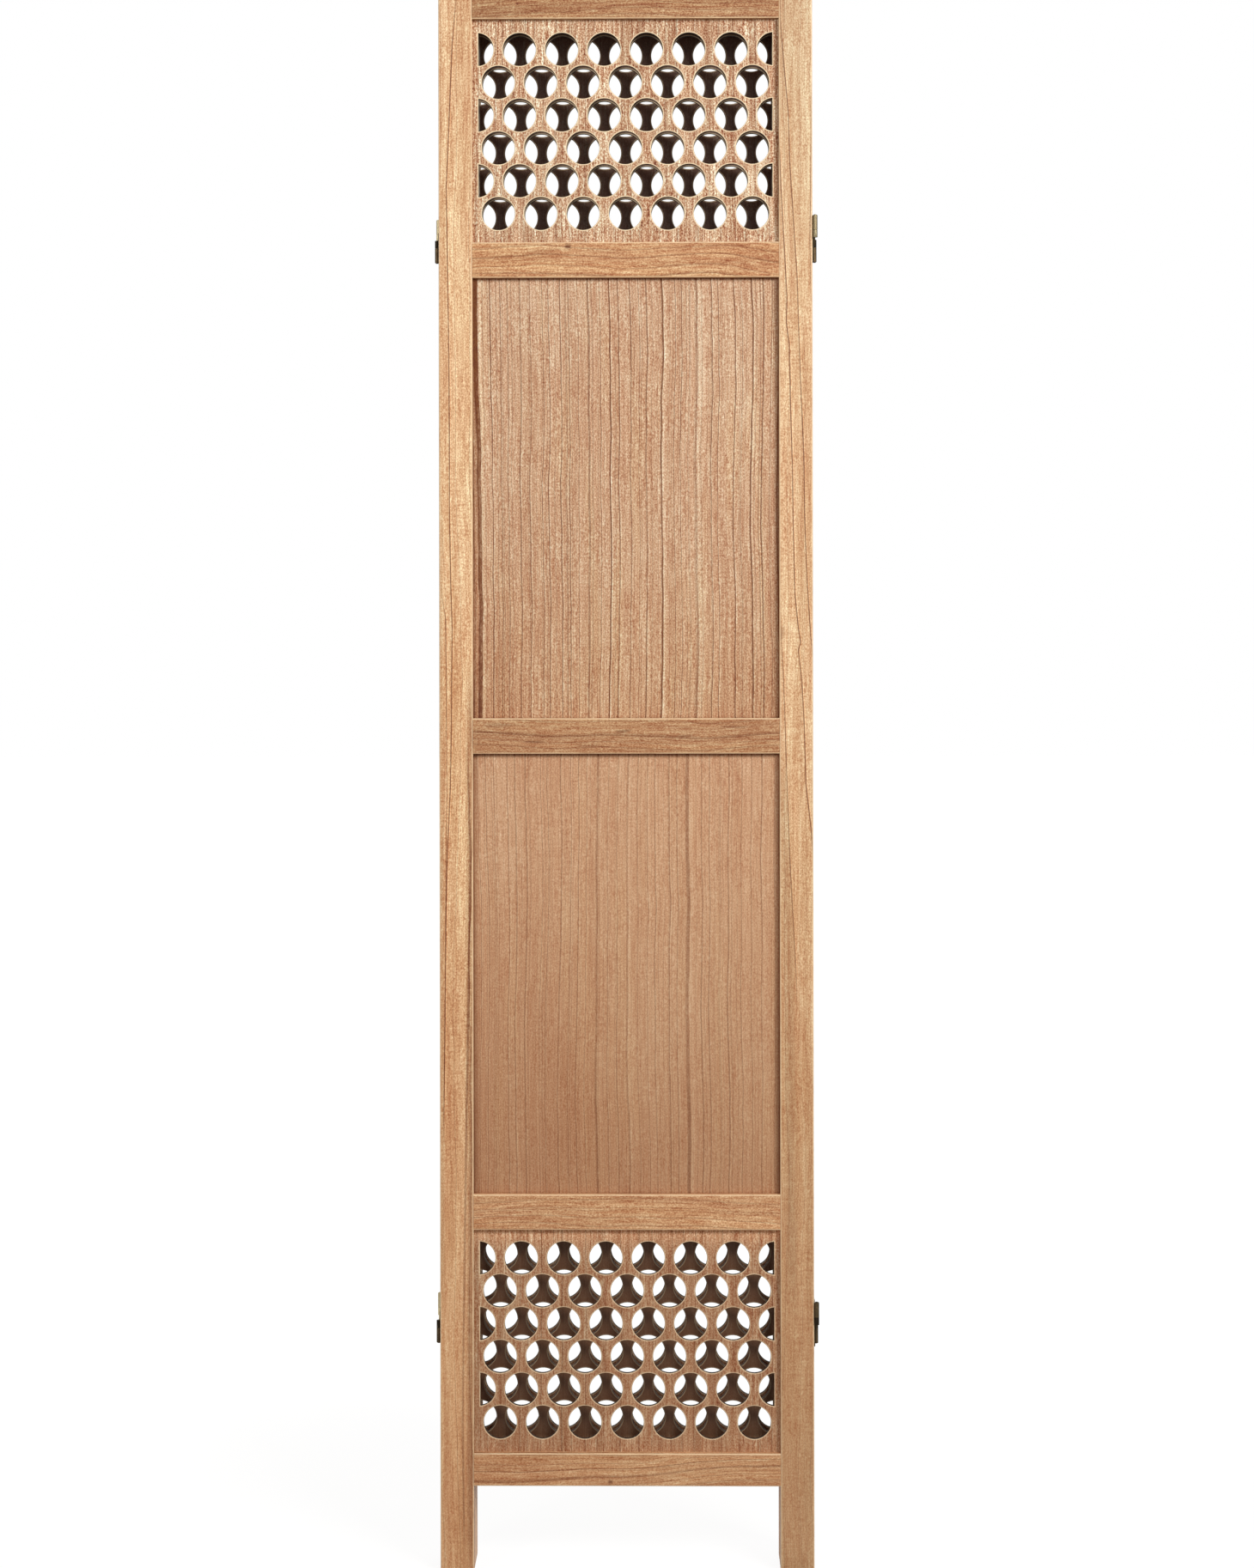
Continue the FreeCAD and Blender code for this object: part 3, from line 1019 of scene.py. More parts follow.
# Marks in the front panel's rails, in the same shares: along from the left, across from the bottom
railStreaks = {
    "upper_rail": [
        {"x": (0.86, 0.86), "z": (0.30, 0.325), "width": 0.07, "strength": 0.85, "fade": 0.008},
        {"x": (0.70, 0.84), "z": (0.16, 0.31), "width": 0.05, "strength": 0.2, "fade": 0.04},
        {"x": (0.84, 0.66), "z": (0.32, 0.52), "width": 0.05, "strength": 0.2, "fade": 0.05},
        {"x": (0.30, 0.44), "z": (0.5, 0.95), "width": 0.06, "strength": 0.14, "fade": 0.1},
    ],
    "middle_rail": [
        {"x": (0.64, 0.66), "z": (0.46, 0.52), "width": 0.035, "strength": 0.75, "fade": 0.015},
        {"x": (0.36, 0.34), "z": (0.16, 0.24), "width": 0.03, "strength": 0.5, "fade": 0.02},
        {"x": (0.5, 0.52), "z": (0.66, 0.73), "width": 0.03, "strength": 0.5, "fade": 0.02},
        {"x": (0.76, 0.74), "z": (0.8, 0.9), "width": 0.03, "strength": 0.42, "fade": 0.02},
        {"x": (0.22, 0.24), "z": (0.33, 0.42), "width": 0.03, "strength": 0.4, "fade": 0.02},
        {"x": (0.8, 0.78), "z": (0.03, 0.13), "width": 0.05, "strength": 0.35, "fade": 0.02},
    ],
    "bottom_rail": [
        {"x": (0.14, 0.14), "z": (0.435, 0.455), "width": 0.06, "strength": 0.85, "fade": 0.006},
    ],
}

# A streak's wander across as it runs along: reach, rate and phase
streakWaves = ((0.012, 23, 0), (0.008, 61, 1))
mostFigureAndShade = 0.85


def streakAt(streaks, across, along):
    total = 0.0
    for streak in streaks:
        low, high = streak["z"]
        rising = (along - low) / (high - low)
        if not 0 <= rising <= 1:
            continue
        middle = streak["x"][0] + (streak["x"][1] - streak["x"][0]) * rising
        middle += sum(reach * math.sin(along * rate + phase) for reach, rate, phase in streakWaves)
        fade = min(1.0, min(along - low, high - along) / streak["fade"])
        total += streak["strength"] * fade * math.exp(-(((across - middle) / streak["width"]) ** 2))
    return min(total, mostFigureAndShade)


cornerWays = ((1, 1), (-1, 1), (-1, -1), (1, -1))
tinyStep = 1e-9


# A straight member with rounded arrises. alongAxis is 0 or 2; grooves gives, for each side,
# the ranges along the member that hold a board and half the groove's width.
def memberMesh(name, node, alongAxis, grooves, endRounds, streaks, seed, veinList=()):
    low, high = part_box(node)
    acrossAxis = 2 - alongAxis
    middle = (low + high) / 2
    half = (high - low) / 2
    wholeWidth = 2 * half[acrossAxis]
    size = memberFinish
    radius = size["arrisRadius"]
    steps = size["arrisSteps"]
    inner = radius + size["wearBand"]
    start, end = low[alongAxis], high[alongAxis]
    across, deep = {}, {}
    for way, acrossSeed, deepSeed in ((1, 0.1, 0.3), (-1, 0.2, 0.4)):
        across[way] = wanderOf(seed + acrossSeed, size["edgeWander"])
        deep[way] = wanderOf(seed + deepSeed, size["faceWander"])

    # Stations along the member, each with how far its section is drawn in there
    stations = {start: 0.0, end: 0.0}

    def addStation(place, gap):
        if start < place < end and min(abs(place - other) for other in stations) > gap:
            stations[place] = 0.0

    for edgePlace, way, roundness in ((start, 1, endRounds[0]), (end, -1, endRounds[1])):
        for step in range(size["roundSteps"] + 1):
            angle = quarterTurn * step / size["roundSteps"]
            stations[edgePlace + way * roundness * (1 - math.cos(angle))] = roundness * (1 - math.sin(angle))
    for ranges in grooves.values():
        for *rangeEnds, _ in ranges:
            for place in rangeEnds:
                if start < place < end:
                    stations.setdefault(place, 0.0)
    marks = []
    for streak in streaks or ():
        streakLow, streakHigh = streak["z"]
        for step in range(size["streakSteps"] + 1):
            marks.append(streakLow + (streakHigh - streakLow) * step / size["streakSteps"])
    for vein in veinList:
        marks += [height for height, _ in vein["path"]]
    for share in marks:
        addStation(start + (end - start) * share, size["leastGap"])
    count = round((end - start) / size["stationGap"])
    for step in range(1, count):
        addStation(start + (end - start) * step / count, size["stationGap"] / 4)
    places = sorted(stations)

    def mouthAt(side, place):
        for rangeLow, rangeHigh, halfGap in grooves[side]:
            if rangeLow - tinyStep <= place <= rangeHigh + tinyStep:
                return halfGap
        return min((abs(place - edge), halfGap) for lo, hi, halfGap in grooves[side] for edge in (lo, hi))[1]

    def grooved(side, place):
        return any(lo < place < hi for lo, hi, _ in grooves.get(side, ()))

    columns = round((wholeWidth - 2 * inner) / size["faceColumn"])

    # The section's points in order, each named by the kind of place that it has
    def keysFor(opened):
        keys = []
        for corner, (acrossWay, deepWay) in enumerate(cornerWays):
            if acrossWay == deepWay:
                keys.append(("in", corner))
                keys += [("arc", corner, step) for step in range(steps + 1)]
                keys += [("face", deepWay, acrossWay, column) for column in range(columns + 1)]
            else:
                keys += [("arc", corner, steps - step) for step in range(steps + 1)]
                keys.append(("in", corner))
                side = acrossWay
                if side in grooves:
                    keys.append(("mouth", side, deepWay))
                    if opened[side]:
                        keys += [("deep", side, deepWay), ("deep", side, -deepWay)]
                    keys.append(("mouth", side, -deepWay))
        return keys

    # A point's place across and deep, from the section's middle, and its wear
    def placeOf(key, along, inset):
        wide = {way: half[acrossAxis] - across[way](along) - inset for way in (1, -1)}
        thick = {way: half[1] - deep[way](along) - inset for way in (1, -1)}
        kind = key[0]
        if kind in ("mouth", "deep"):
            _, side, way = key
            floorIn = grooveDepth if kind == "deep" else 0.0
            return side * (wide[side] - floorIn), way * mouthAt(side, along), 0.0
        if kind == "face":
            _, deepWay, acrossWay, column = key
            reach = 1 - 2 * column / columns
            span = wide[1 if reach * acrossWay > 0 else -1] - inner
            return acrossWay * reach * span, deepWay * thick[deepWay], 0.0
        acrossWay, deepWay = cornerWays[key[1]]
        if kind == "in":
            return acrossWay * wide[acrossWay], deepWay * (thick[deepWay] - inner), 0.0
        angle = quarterTurn * key[2] / steps
        curve = max(radius - inset, radius * size["leastCurve"])
        out = wide[acrossWay] - curve * (1 - math.cos(angle))
        up = thick[deepWay] - curve * (1 - math.sin(angle))
        wear = 1 - size["wearFall"] * abs(2 * key[2] / steps - 1)
        return acrossWay * out, deepWay * up, wear

    work = bmesh.new()
    wearLayer = work.verts.layers.float.new("edge")
    figureAndShadeLayer = work.verts.layers.float.new("figureAndShade")
    veinLayers = [work.verts.layers.float_vector.new(label) for label in veinNames[: len(veinList)]]
    made = {}

    def vertexAt(index, key):
        if (index, key) not in made:
            along = places[index]
            out, up, wear = placeOf(key, along, stations[along])
            corner = middle.copy()
            corner[alongAxis] = along
            corner[acrossAxis] += out
            corner[1] += up
            vertex = work.verts.new(corner)
            vertex[wearLayer] = wear
            shareAcross, shareAlong = out / wholeWidth + 0.5, (along - start) / (end - start)
            if streaks and key[0] != "deep":
                vertex[figureAndShadeLayer] = streakAt(streaks, shareAcross, shareAlong)
            for layer, vein in zip(veinLayers, veinList):
                place, strength = veinAt(vein, shareAlong)
                vertex[layer] = ((shareAcross - place) * wholeWidth / mm, strength, vein["halfWidth"])
            made[(index, key)] = vertex
        return made[(index, key)]

    openings = []
    for index in range(len(places) - 1):
        between = (places[index] + places[index + 1]) / 2
        openings.append({side: grooved(side, between) for side in (1, -1)})
        keys = keysFor(openings[-1])
        for first, second in zip(keys, keys[1:] + keys[:1]):
            corners = [vertexAt(index, first), vertexAt(index, second)]
            corners += [vertexAt(index + 1, second), vertexAt(index + 1, first)]
            work.faces.new(corners)
    for index in range(1, len(openings)):
        for side in grooves:
            if openings[index - 1][side] != openings[index][side]:
                keys = [("mouth", side, 1), ("deep", side, 1), ("deep", side, -1), ("mouth", side, -1)]
                work.faces.new([vertexAt(index, key) for key in keys])
    for index, opening in ((0, openings[0]), (len(places) - 1, openings[-1])):
        work.faces.new([vertexAt(index, key) for key in keysFor(opening)])
    mesh = meshFrom(work, name)
    shaded(mesh, size["sharpDegrees"])
    return mesh


# The range of a panel's field along Z, with the groove's own depth past the rails
def grooveRange(panel, field):
    low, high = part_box(f"panel_{panel}_{field}")
    spare = grooveDepth - tongue
    return low.z - spare, high.z + spare, (high.y - low.y) / 2 + memberFinish["grooveSideGap"]


fieldNames = ("lower_lattice", "lower_board", "upper_board", "upper_lattice")
railNames = ("bottom_rail", "lower_rail", "middle_rail", "upper_rail", "top_rail")


def makeStile(panel, side):
    part = "right_stile" if side > 0 else "left_stile"
    node = f"panel_{panel}_{part}"
    grooves = {-side: [grooveRange(panel, field) for field in fieldNames]}
    rounds = (memberFinish["footRound"], memberFinish["topRound"])
    seed = seedOf[(panel, part)]
    front = panel == 1
    streaks = stileStreaks.get(part) if front else None
    veinList = stileVeins[part] if front else drawnVeins(seed)
    mesh = memberMesh(f"{node}_timber", node, 2, grooves, rounds, streaks, seed, veinList)
    tones = toneOf(panel, part)
    markPiece(mesh, seed, tones)
    paintHeightLight(mesh, part, tones, *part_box(node))
    settle(mesh, node, "stile_wood")


def makeRail(panel, index):
    part = railNames[index]
    node = f"panel_{panel}_{part}"
    low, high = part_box(node)
    ends = (low.x - 1, high.x + 1)
    grooves = {}
    if index > 0:
        grooves[-1] = [(*ends, grooveRange(panel, fieldNames[index - 1])[2])]
    if index < len(fieldNames):
        grooves[1] = [(*ends, grooveRange(panel, fieldNames[index])[2])]
    seed = seedOf[(panel, part)]
    streaks = railStreaks.get(part) if panel == 1 else None
    mesh = memberMesh(f"{node}_timber", node, 0, grooves, (0.0, 0.0), streaks, seed)
    markPiece(mesh, seed, toneOf(panel, part))
    settle(mesh, node, "rail_wood")


for panelNumber in panelNumbers:
    for sideWay in (-1, 1):
        makeStile(panelNumber, sideWay)
    for railIndex in range(len(railNames)):
        makeRail(panelNumber, railIndex)
print("stiles and rails made")


boardFinish = {
    "columnGap": 9.0 * mm,
    "rowGap": 9.0 * mm,
    "edgeSteps": [step * mm for step in (0, 0.5, 1, 1.5, 2.2, 3.2, 4.5, 6.5, 9, 13)],
    "bow": 0.22 * mm,
    "bowReach": 0.03,
    "cupRate": 2,
    # Painted shade along each edge of the board's opening, strongest under the rail above: how dark, and how
    # far in that reaches
    "paintedShade": (
        ("left", 0.3, 4.8 * mm),
        ("left", 0.55, 1.1 * mm),
        ("right", 0.38, 6.0 * mm),
        ("right", 0.5, 1.1 * mm),
        ("top", 0.8, 2.2 * mm),
        ("bottom", 0.3, 1.4 * mm),
    ),
    "sharpDegrees": 40,
}


# Places along a board's side: its ends, close ones beside the frame, and even ones between
def sheetPlaces(low, high, gap):
    steps = boardFinish["edgeSteps"]
    visibleLow, visibleHigh = low + tongue, high - tongue
    places = [low] + [visibleLow + step for step in steps]
    middleLow, middleHigh = places[-1], visibleHigh - steps[-1]
    count = round((middleHigh - middleLow) / gap)
    places += [middleLow + (middleHigh - middleLow) * step / count for step in range(1, count)]
    places += [visibleHigh - step for step in reversed(steps)]
    return places + [high]


def paintedShadeAt(distances):
    total = 0.0
    for edge, strength, reach in boardFinish["paintedShade"]:
        total += strength * math.exp(-((max(distances[edge], 0.0) / reach) ** 2))
    return min(total, mostFigureAndShade)


# A plain thin board, a little bowed and cupped between its grooves, with painted shade along the edges of its
# opening
def makeBoard(panel, part):
    node = f"panel_{panel}_{part}"
    low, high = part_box(node)
    seed = seedOf[(panel, part)]
    size = boardFinish
    cup = wanderOf(seed + 0.5, 1.0)
    swell = wanderOf(seed + 0.6, 1.0)
    work = bmesh.new()
    figureAndShadeLayer = work.verts.layers.float.new("figureAndShade")
    sheets = {}
    placesX = sheetPlaces(low.x, high.x, size["columnGap"])
    placesZ = sheetPlaces(low.z, high.z, size["rowGap"])
    lastColumn, lastRow = len(placesX) - 1, len(placesZ) - 1
    for face, depth in ((0, low.y), (1, high.y)):
        for row, z in enumerate(placesZ):
            for column, x in enumerate(placesX):
                distances = {"left": x - low.x, "right": high.x - x, "top": high.z - z, "bottom": z - low.z}
                distances = {edge: value - tongue for edge, value in distances.items()}
                free = limited(min(distances.values()) / size["bowReach"])
                shift = size["bow"] * free * (cup(x * size["cupRate"]) + swell(z) - 1)
                vertex = work.verts.new((x, depth + shift, z))
                # Painted shade next to the frame
                vertex[figureAndShadeLayer] = paintedShadeAt(distances)
                sheets[(face, row, column)] = vertex
    for face in (0, 1):
        for row in range(lastRow):
            for column in range(lastColumn):
                corners = [(row, column), (row, column + 1), (row + 1, column + 1), (row + 1, column)]
                work.faces.new([sheets[(face, *corner)] for corner in corners])
    rim = [(0, column) for column in range(lastColumn)]
    rim += [(row, lastColumn) for row in range(lastRow)]
    rim += [(lastRow, lastColumn - column) for column in range(lastColumn)]
    rim += [(lastRow - row, 0) for row in range(lastRow)]
    for first, second in zip(rim, rim[1:] + rim[:1]):
        corners = [(0, *first), (0, *second), (1, *second), (1, *first)]
        work.faces.new([sheets[corner] for corner in corners])
    mesh = meshFrom(work, f"{node}_plank")
    shaded(mesh, size["sharpDegrees"])
    tones = toneOf(panel, part)
    markPiece(mesh, seed, tones)
    paintHeightLight(mesh, part, tones, low, high)
    settle(mesh, node, "board_wood")


for panelNumber in panelNumbers:
    for boardName in ("lower_board", "upper_board"):
        makeBoard(panelNumber, boardName)
print("boards made")


def joined(*geometries):
    joint = put(treeOf(geometries), "GeometryNodeJoinGeometry")
    for geometry in geometries:
        feed(joint.inputs[0], geometry)
    return Flow(joint.outputs[0])


# How each geometry tree ends: real geometry with its material
def giveOut(geometry, given, result):
    tree = treeOf([geometry])
    real = flow(tree, "GeometryNodeRealizeInstances", {0: geometry})
    feed(result["Geometry"], flow(tree, "GeometryNodeSetMaterial", {0: real, "Material": given["Material"]}))


fretSizes = {
    "Board Width": 0.338,
    "Board Height": 0.249,
    "Thickness": 0.005,
    "Hole Radius": 0.01765,
    "Hole Pitch": 0.0454,
    "Row Pitch": 0.0352,
    "Straight Cut": 0.1575,
    "Corner Softness": 0.0022,
    "Rim Radius": 0.0006,
    "Rim Band": 0.0016,
    "Rows": 6,
    "Columns": 8,
    "Hole Segments": 56,
    "Rim Segments": 3,
    "Outline Points": 114,
}
fretInside = 0.499  # of the board's width and height; past it lies the board's own outline
sameHeight = 1e-6
samePlace = 1e-5


# The pierced board, flat in XY with its front upwards: staggered rows of round holes, those
# that would reach the frame cut straight
def fretTree():
    inputs = {**fretSizes, "Material": "Material"}
    tree, given, result = newTree("fretBoard", "GeometryNodeTree", inputs, {"Geometry": "Geometry"})

    def compare(first, operation, second):
        return flow(tree, "FunctionNodeCompare", {0: first, 1: second}, operation=operation)

    def both(first, second):
        return flow(tree, "FunctionNodeBooleanMath", {0: first, 1: second}, operation="AND")

    def store(geometry, name, value):
        feeds = {"Geometry": geometry, "Name": name, "Value": value}
        return flow(tree, "GeometryNodeStoreNamedAttribute", feeds)

    def named(name):
        return flow(tree, "GeometryNodeInputNamedAttribute", {"Name": name})

    # Moved to a new Position, or by an Offset
    def moved(geometry, **place):
        return flow(tree, "GeometryNodeSetPosition", {"Geometry": geometry, **place})

    index = flow(tree, "GeometryNodeInputIndex")
    position = flow(tree, "GeometryNodeInputPosition")
    x, y, z = parted(position)
    band = given["Rim Band"]
    radius = given["Hole Radius"]

    # The edge of a hole in section: front face, rounded rim, wall, rounded rim, back face
    front = given["Thickness"] * 0.5
    back = front * -1.0
    sectionPoints = ((band, front), (0.0, front), (0.0, back), (band, back))
    section = flow(tree, "GeometryNodeMeshLine", {"Count": len(sectionPoints)})
    corners = put(tree, "GeometryNodeIndexSwitch", data_type="VECTOR")
    while len(corners.index_switch_items) < len(sectionPoints):
        corners.index_switch_items.new()
    feed(corners.inputs[0], index)
    for number, (out, up) in enumerate(sectionPoints):
        feed(corners.inputs[number + 1], combine(out, up, 0.0))
    section = moved(section, Position=Flow(corners.outputs[0]))
    section = flow(tree, "GeometryNodeMeshToCurve", {0: section})
    rounding = {"Curve": section, "Count": given["Rim Segments"], "Radius": given["Rim Radius"]}
    rounding["Limit Radius"] = True
    rounded = flow(tree, "GeometryNodeFilletCurve", rounding, mode="POLY")
    sectionCount = flow(tree, "GeometryNodeAttributeDomainSize", {0: rounded}, component="CURVE")

    # One hole's collar: a grid whose rows are the points of the section
    gridFeeds = {"Size X": 1.0, "Size Y": 1.0, "Vertices Y": sectionCount}
    gridFeeds["Vertices X"] = given["Hole Segments"] + 1.0
    collar = flow(tree, "GeometryNodeMeshGrid", gridFeeds)
    turn = (x + 0.5) * (2 * math.pi)
    rowNumber = maths("ROUND", (y + 0.5) * (sectionCount - 1.0))
    sampleFeeds = {0: rounded, "Value": position, "Index": rowNumber}
    out, up, _ = parted(flow(tree, "GeometryNodeSampleIndex", sampleFeeds, data_type="FLOAT_VECTOR"))
    collar = store(collar, "outward", out)
    reach = radius + out
    collar = moved(collar, Position=combine(reach * maths("COSINE", turn), reach * maths("SINE", turn), up))
    collar = flow(tree, "GeometryNodeMergeByDistance", {0: collar, "Distance": sameHeight})

    # Centres, in staggered rows; those too far past the straight cut are left out
    centres = flow(tree, "GeometryNodePoints", {"Count": given["Rows"] * given["Columns"]})
    row = maths("FLOOR", (index + 0.5) / given["Columns"])
    column = index - row * given["Columns"]
    stagger = maths("MODULO", row, 2.0) * 0.5
    centreX = (column - (given["Columns"] - 1.0) * 0.5 + stagger) * given["Hole Pitch"]
    centreY = ((given["Rows"] - 1.0) * 0.5 - row) * given["Row Pitch"]
    centres = moved(centres, Position=combine(centreX, centreY, 0.0))
    tooFar = compare(abs(x), "GREATER_THAN", radius * 0.5 + given["Straight Cut"])
    centres = flow(tree, "GeometryNodeDeleteGeometry", {"Geometry": centres, "Selection": tooFar})

    holes = flow(tree, "GeometryNodeInstanceOnPoints", {"Points": centres, "Instance": collar})
    holes = flow(tree, "GeometryNodeRealizeInstances", {0: holes})
    outward = named("outward")
    limit = given["Straight Cut"] + outward
    cutX = maths("SMOOTH_MIN", abs(x), limit, given["Corner Softness"]) * maths("SIGN", x)
    holes = moved(holes, Position=combine(cutX, y, z))
    holes = store(holes, "rimOffset", outward / mm)
    # Smoke and painted shade on the back half of each hole's collar
    holes = store(holes, "smokeAndShade", compare(z, "LESS_THAN", 0.0))

    # The flat faces, filled between the board's outline and the outer loops of the collars
    outlineFeeds = {"Width": given["Board Width"], "Height": given["Board Height"]}
    outline = flow(tree, "GeometryNodeCurvePrimitiveQuadrilateral", outlineFeeds)
    outline = flow(tree, "GeometryNodeResampleCurve", {"Curve": outline, "Count": given["Outline Points"]})
    atBand = compare(outward, "GREATER_EQUAL", band - sameHeight)
    inX = compare(abs(x), "LESS_THAN", given["Board Width"] * fretInside)
    inY = compare(abs(y), "LESS_THAN", given["Board Height"] * fretInside)
    within = both(inX, inY)
    plates = []
    for way in (1.0, -1.0):
        outerLoop = both(atBand, compare(z * way, "GREATER_THAN", 0.0))
        loops = flow(tree, "GeometryNodeMeshToCurve", {0: holes, "Selection": outerLoop})
        plate = flow(tree, "GeometryNodeFillCurve", {0: joined(loops, outline)})
        plate = moved(plate, Offset=combine(0.0, 0.0, front * way))
        plate = store(plate, "rimOffset", band / mm)
        # Smoke and painted shade on the back plate
        plates.append(store(plate, "smokeAndShade", within * (0.0 if way > 0 else 1.0)))

    # The edge all round, which sits in the frame's grooves
    hoop = flow(tree, "GeometryNodeCurveToMesh", {0: outline})
    hoop = moved(hoop, Offset=combine(0.0, 0.0, back))
    hoopFeeds = {"Mesh": hoop, "Offset": combine(0.0, 0.0, given["Thickness"]), "Offset Scale": 1.0}
    hoop = flow(tree, "GeometryNodeExtrudeMesh", hoopFeeds, mode="EDGES")
    hoop = store(hoop, "rimOffset", band / mm)

    whole = joined(holes, hoop, *plates)
    whole = flow(tree, "GeometryNodeMergeByDistance", {0: whole, "Distance": samePlace})
    giveOut(flow(tree, "GeometryNodeSetShadeSmooth", {0: whole}), given, result)
    return tree


# Runs a tree on an empty mesh, or on points, and gives the plain mesh that comes out
def meshFromTree(tree, values, points=None, aims=None):
    seedMesh = bpy.data.meshes.new("start")
    if points:
        seedMesh.from_pydata(points, [], [])
        layer = seedMesh.attributes.new("aim", "FLOAT_VECTOR", "POINT")
        layer.data.foreach_set("vector", [value for aim in aims for value in aim])
    holder = addObject("start", seedMesh)
    modifier = holder.modifiers.new("tree", "NODES")
    modifier.node_group = tree
    for item in tree.interface.items_tree:
        if item.in_out == "INPUT" and item.name in values:
            modifier[item.identifier] = values[item.name]
    holder.update_tag()
    mesh = evaluatedMesh(holder)
    holder.modifiers.remove(modifier)
    bpy.data.objects.remove(holder)
    bpy.data.meshes.remove(seedMesh)
    return mesh


def evaluatedMesh(holder):
    bpy.context.view_layer.update()
    evaluated = holder.evaluated_get(bpy.context.evaluated_depsgraph_get())
    return bpy.data.meshes.new_from_object(evaluated)


# Runs a step of bmesh work on a finished mesh
def reworked(mesh, change):
    work = bmesh.new()
    work.from_mesh(mesh)
    change(work)
    work.to_mesh(mesh)
    work.free()


def faceOutwards(work):
    bmesh.ops.recalc_face_normals(work, faces=work.faces)


fretBoardTree = fretTree()
plainFret = meshFromTree(fretBoardTree, {**fretSizes, "Material": materials["lattice_wood"]})
reworked(plainFret, faceOutwards)
shaded(plainFret, memberFinish["sharpDegrees"])
print("pierced board:", len(plainFret.vertices), "points,", len(plainFret.polygons), "faces")


# Painted shade on the pierced boards seen through the front ones: how dark it is, deeper on the upper boards,
# and how much of it lies on the front of the rearmost panel's piece
fretSootShade = {
    "upper_lattice": {"depth": 1.0, "rearFrontShade": 0.86},
    "lower_lattice": {"depth": 0.0, "rearFrontShade": 0.5},
}

# These stand end for end, which staggers the rows seen through the front ones
turnedFrets = ((2, "lower_lattice"), (3, "lower_lattice"), (3, "upper_lattice"))


def makeFret(panel, part):
    node = f"panel_{panel}_{part}"
    low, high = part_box(node)
    front = frontWay[panel]
    upWay = -1 if (panel, part) in turnedFrets else 1
    turn = Matrix(((-front * upWay, 0, 0), (0, 0, front), (0, upWay, 0))).to_4x4()
    mesh = plainFret.copy()
    mesh.name = f"{node}_fretwork"
    mesh.transform(Matrix.Translation((low + high) / 2) @ turn)
    tones = toneOf(panel, part)
    markPiece(mesh, seedOf[(panel, part)], tones)
    if part in paintedHeightLight:
        paintHeightLight(mesh, part, tones, low, high)
    # Painted shade, deeper on the upper boards and on the rearmost panel's front
    sootShade = fretSootShade[part]
    pointValues(mesh, "sootShade", sootShade["depth"])
    pointValues(mesh, "paintedFrontShade", sootShade["rearFrontShade"] if panel == 3 else 0.0)
    settle(mesh, node, "lattice_wood")


for panelNumber in panelNumbers:
    for fretName in ("lower_lattice", "upper_lattice"):
        makeFret(panelNumber, fretName)
print("lattices made")

hingeSizes = {
    "leafThick": 1.2 * mm,
    "barrelRadius": 2.5 * mm,
    "boreRadius": 1.25 * mm,
    "leafClear": 3.2 * mm,
    "panelPitch": 21.0 * mm,
    "halfHeight": 24.0 * mm,
    "cornerRadius": 1.5 * mm,
    "cornerSteps": 6,
    "knuckleStart": 8.5 * mm,
    "linkReach": 8.25 * mm,
    "knuckleGap": 0.25 * mm,
    "linkInner": 1.7 * mm,
    "pinOut": 2.8 * mm,
    "rollTurn": math.radians(302),
    "rollSteps": 22,
    "liftSteps": 7,
    "screwSpread": 15.5 * mm,
    "bevel": 0.14 * mm,
    "segments": 40,
    "sharpDegrees": 32,
}
screwSizes = {
    "Head Radius": 2.5 * mm,
    "Shank Radius": 1.4 * mm,
    "Length": 14.0 * mm,
    "Point Length": 3.0 * mm,
    "Point Radius": 0.42 * mm,
    "Slot Width": 0.8 * mm,
    "Slot Depth": 0.5 * mm,
    "Crown": 0.18 * mm,
    "Crown Share": 0.55,
    "Segments": 28,
}
sinkSizes = {"gap": 0.1 * mm, "above": 1.0 * mm, "below": 4.0 * mm}
pinSizes = {
    "shankRadius": 1.2 * mm,
    "headRadius": 1.9 * mm,
    "headEdge": 0.25 * mm,
    "headHeight": 1.0 * mm,
    "chamfer": 0.2 * mm,
    "segments": 32,
    "domeSteps": 6,
}
onAxis = 1e-7


# A closed bar: an outline swept straight, where toPoint turns outline and depth into a place
def prism(outline, low, high, toPoint):
    work = bmesh.new()
    rings = [[work.verts.new(toPoint(u, v, depth)) for u, v in outline] for depth in (low, high)]
    for first in range(len(outline)):
        second = (first + 1) % len(outline)
        work.faces.new([rings[0][first], rings[0][second], rings[1][second], rings[1][first]])
    for ring in rings:
        work.faces.new(ring)
    return addObject("prism", meshFrom(work, "prism"))


# A closed turned shape about an axis along Z: profile is (radius, height) from pole to pole, or a
# tube's section when ring is true
def turned(profile, centre, segments, ring=False):
    work = bmesh.new()
    loops = []
    for radius, height in profile:
        if radius < onAxis:
            loops.append([work.verts.new((*centre, height))])
            continue
        loop = []
        for step in range(segments):
            angle = 2 * math.pi * step / segments
            place = (centre[0] + radius * math.cos(angle), centre[1] + radius * math.sin(angle), height)
            loop.append(work.verts.new(place))
        loops.append(loop)
    pairs = list(zip(loops, loops[1:]))
    if ring:
        pairs.append((loops[-1], loops[0]))
    for first, second in pairs:
        for step in range(segments):
            after = (step + 1) % segments
            corners = [first[step % len(first)], first[after % len(first)]]
            corners += [second[after % len(second)], second[step % len(second)]]
            work.faces.new(list(dict.fromkeys(corners)))
    return addObject("turned", meshFrom(work, "turned"))


bevelFrom = math.radians(35)


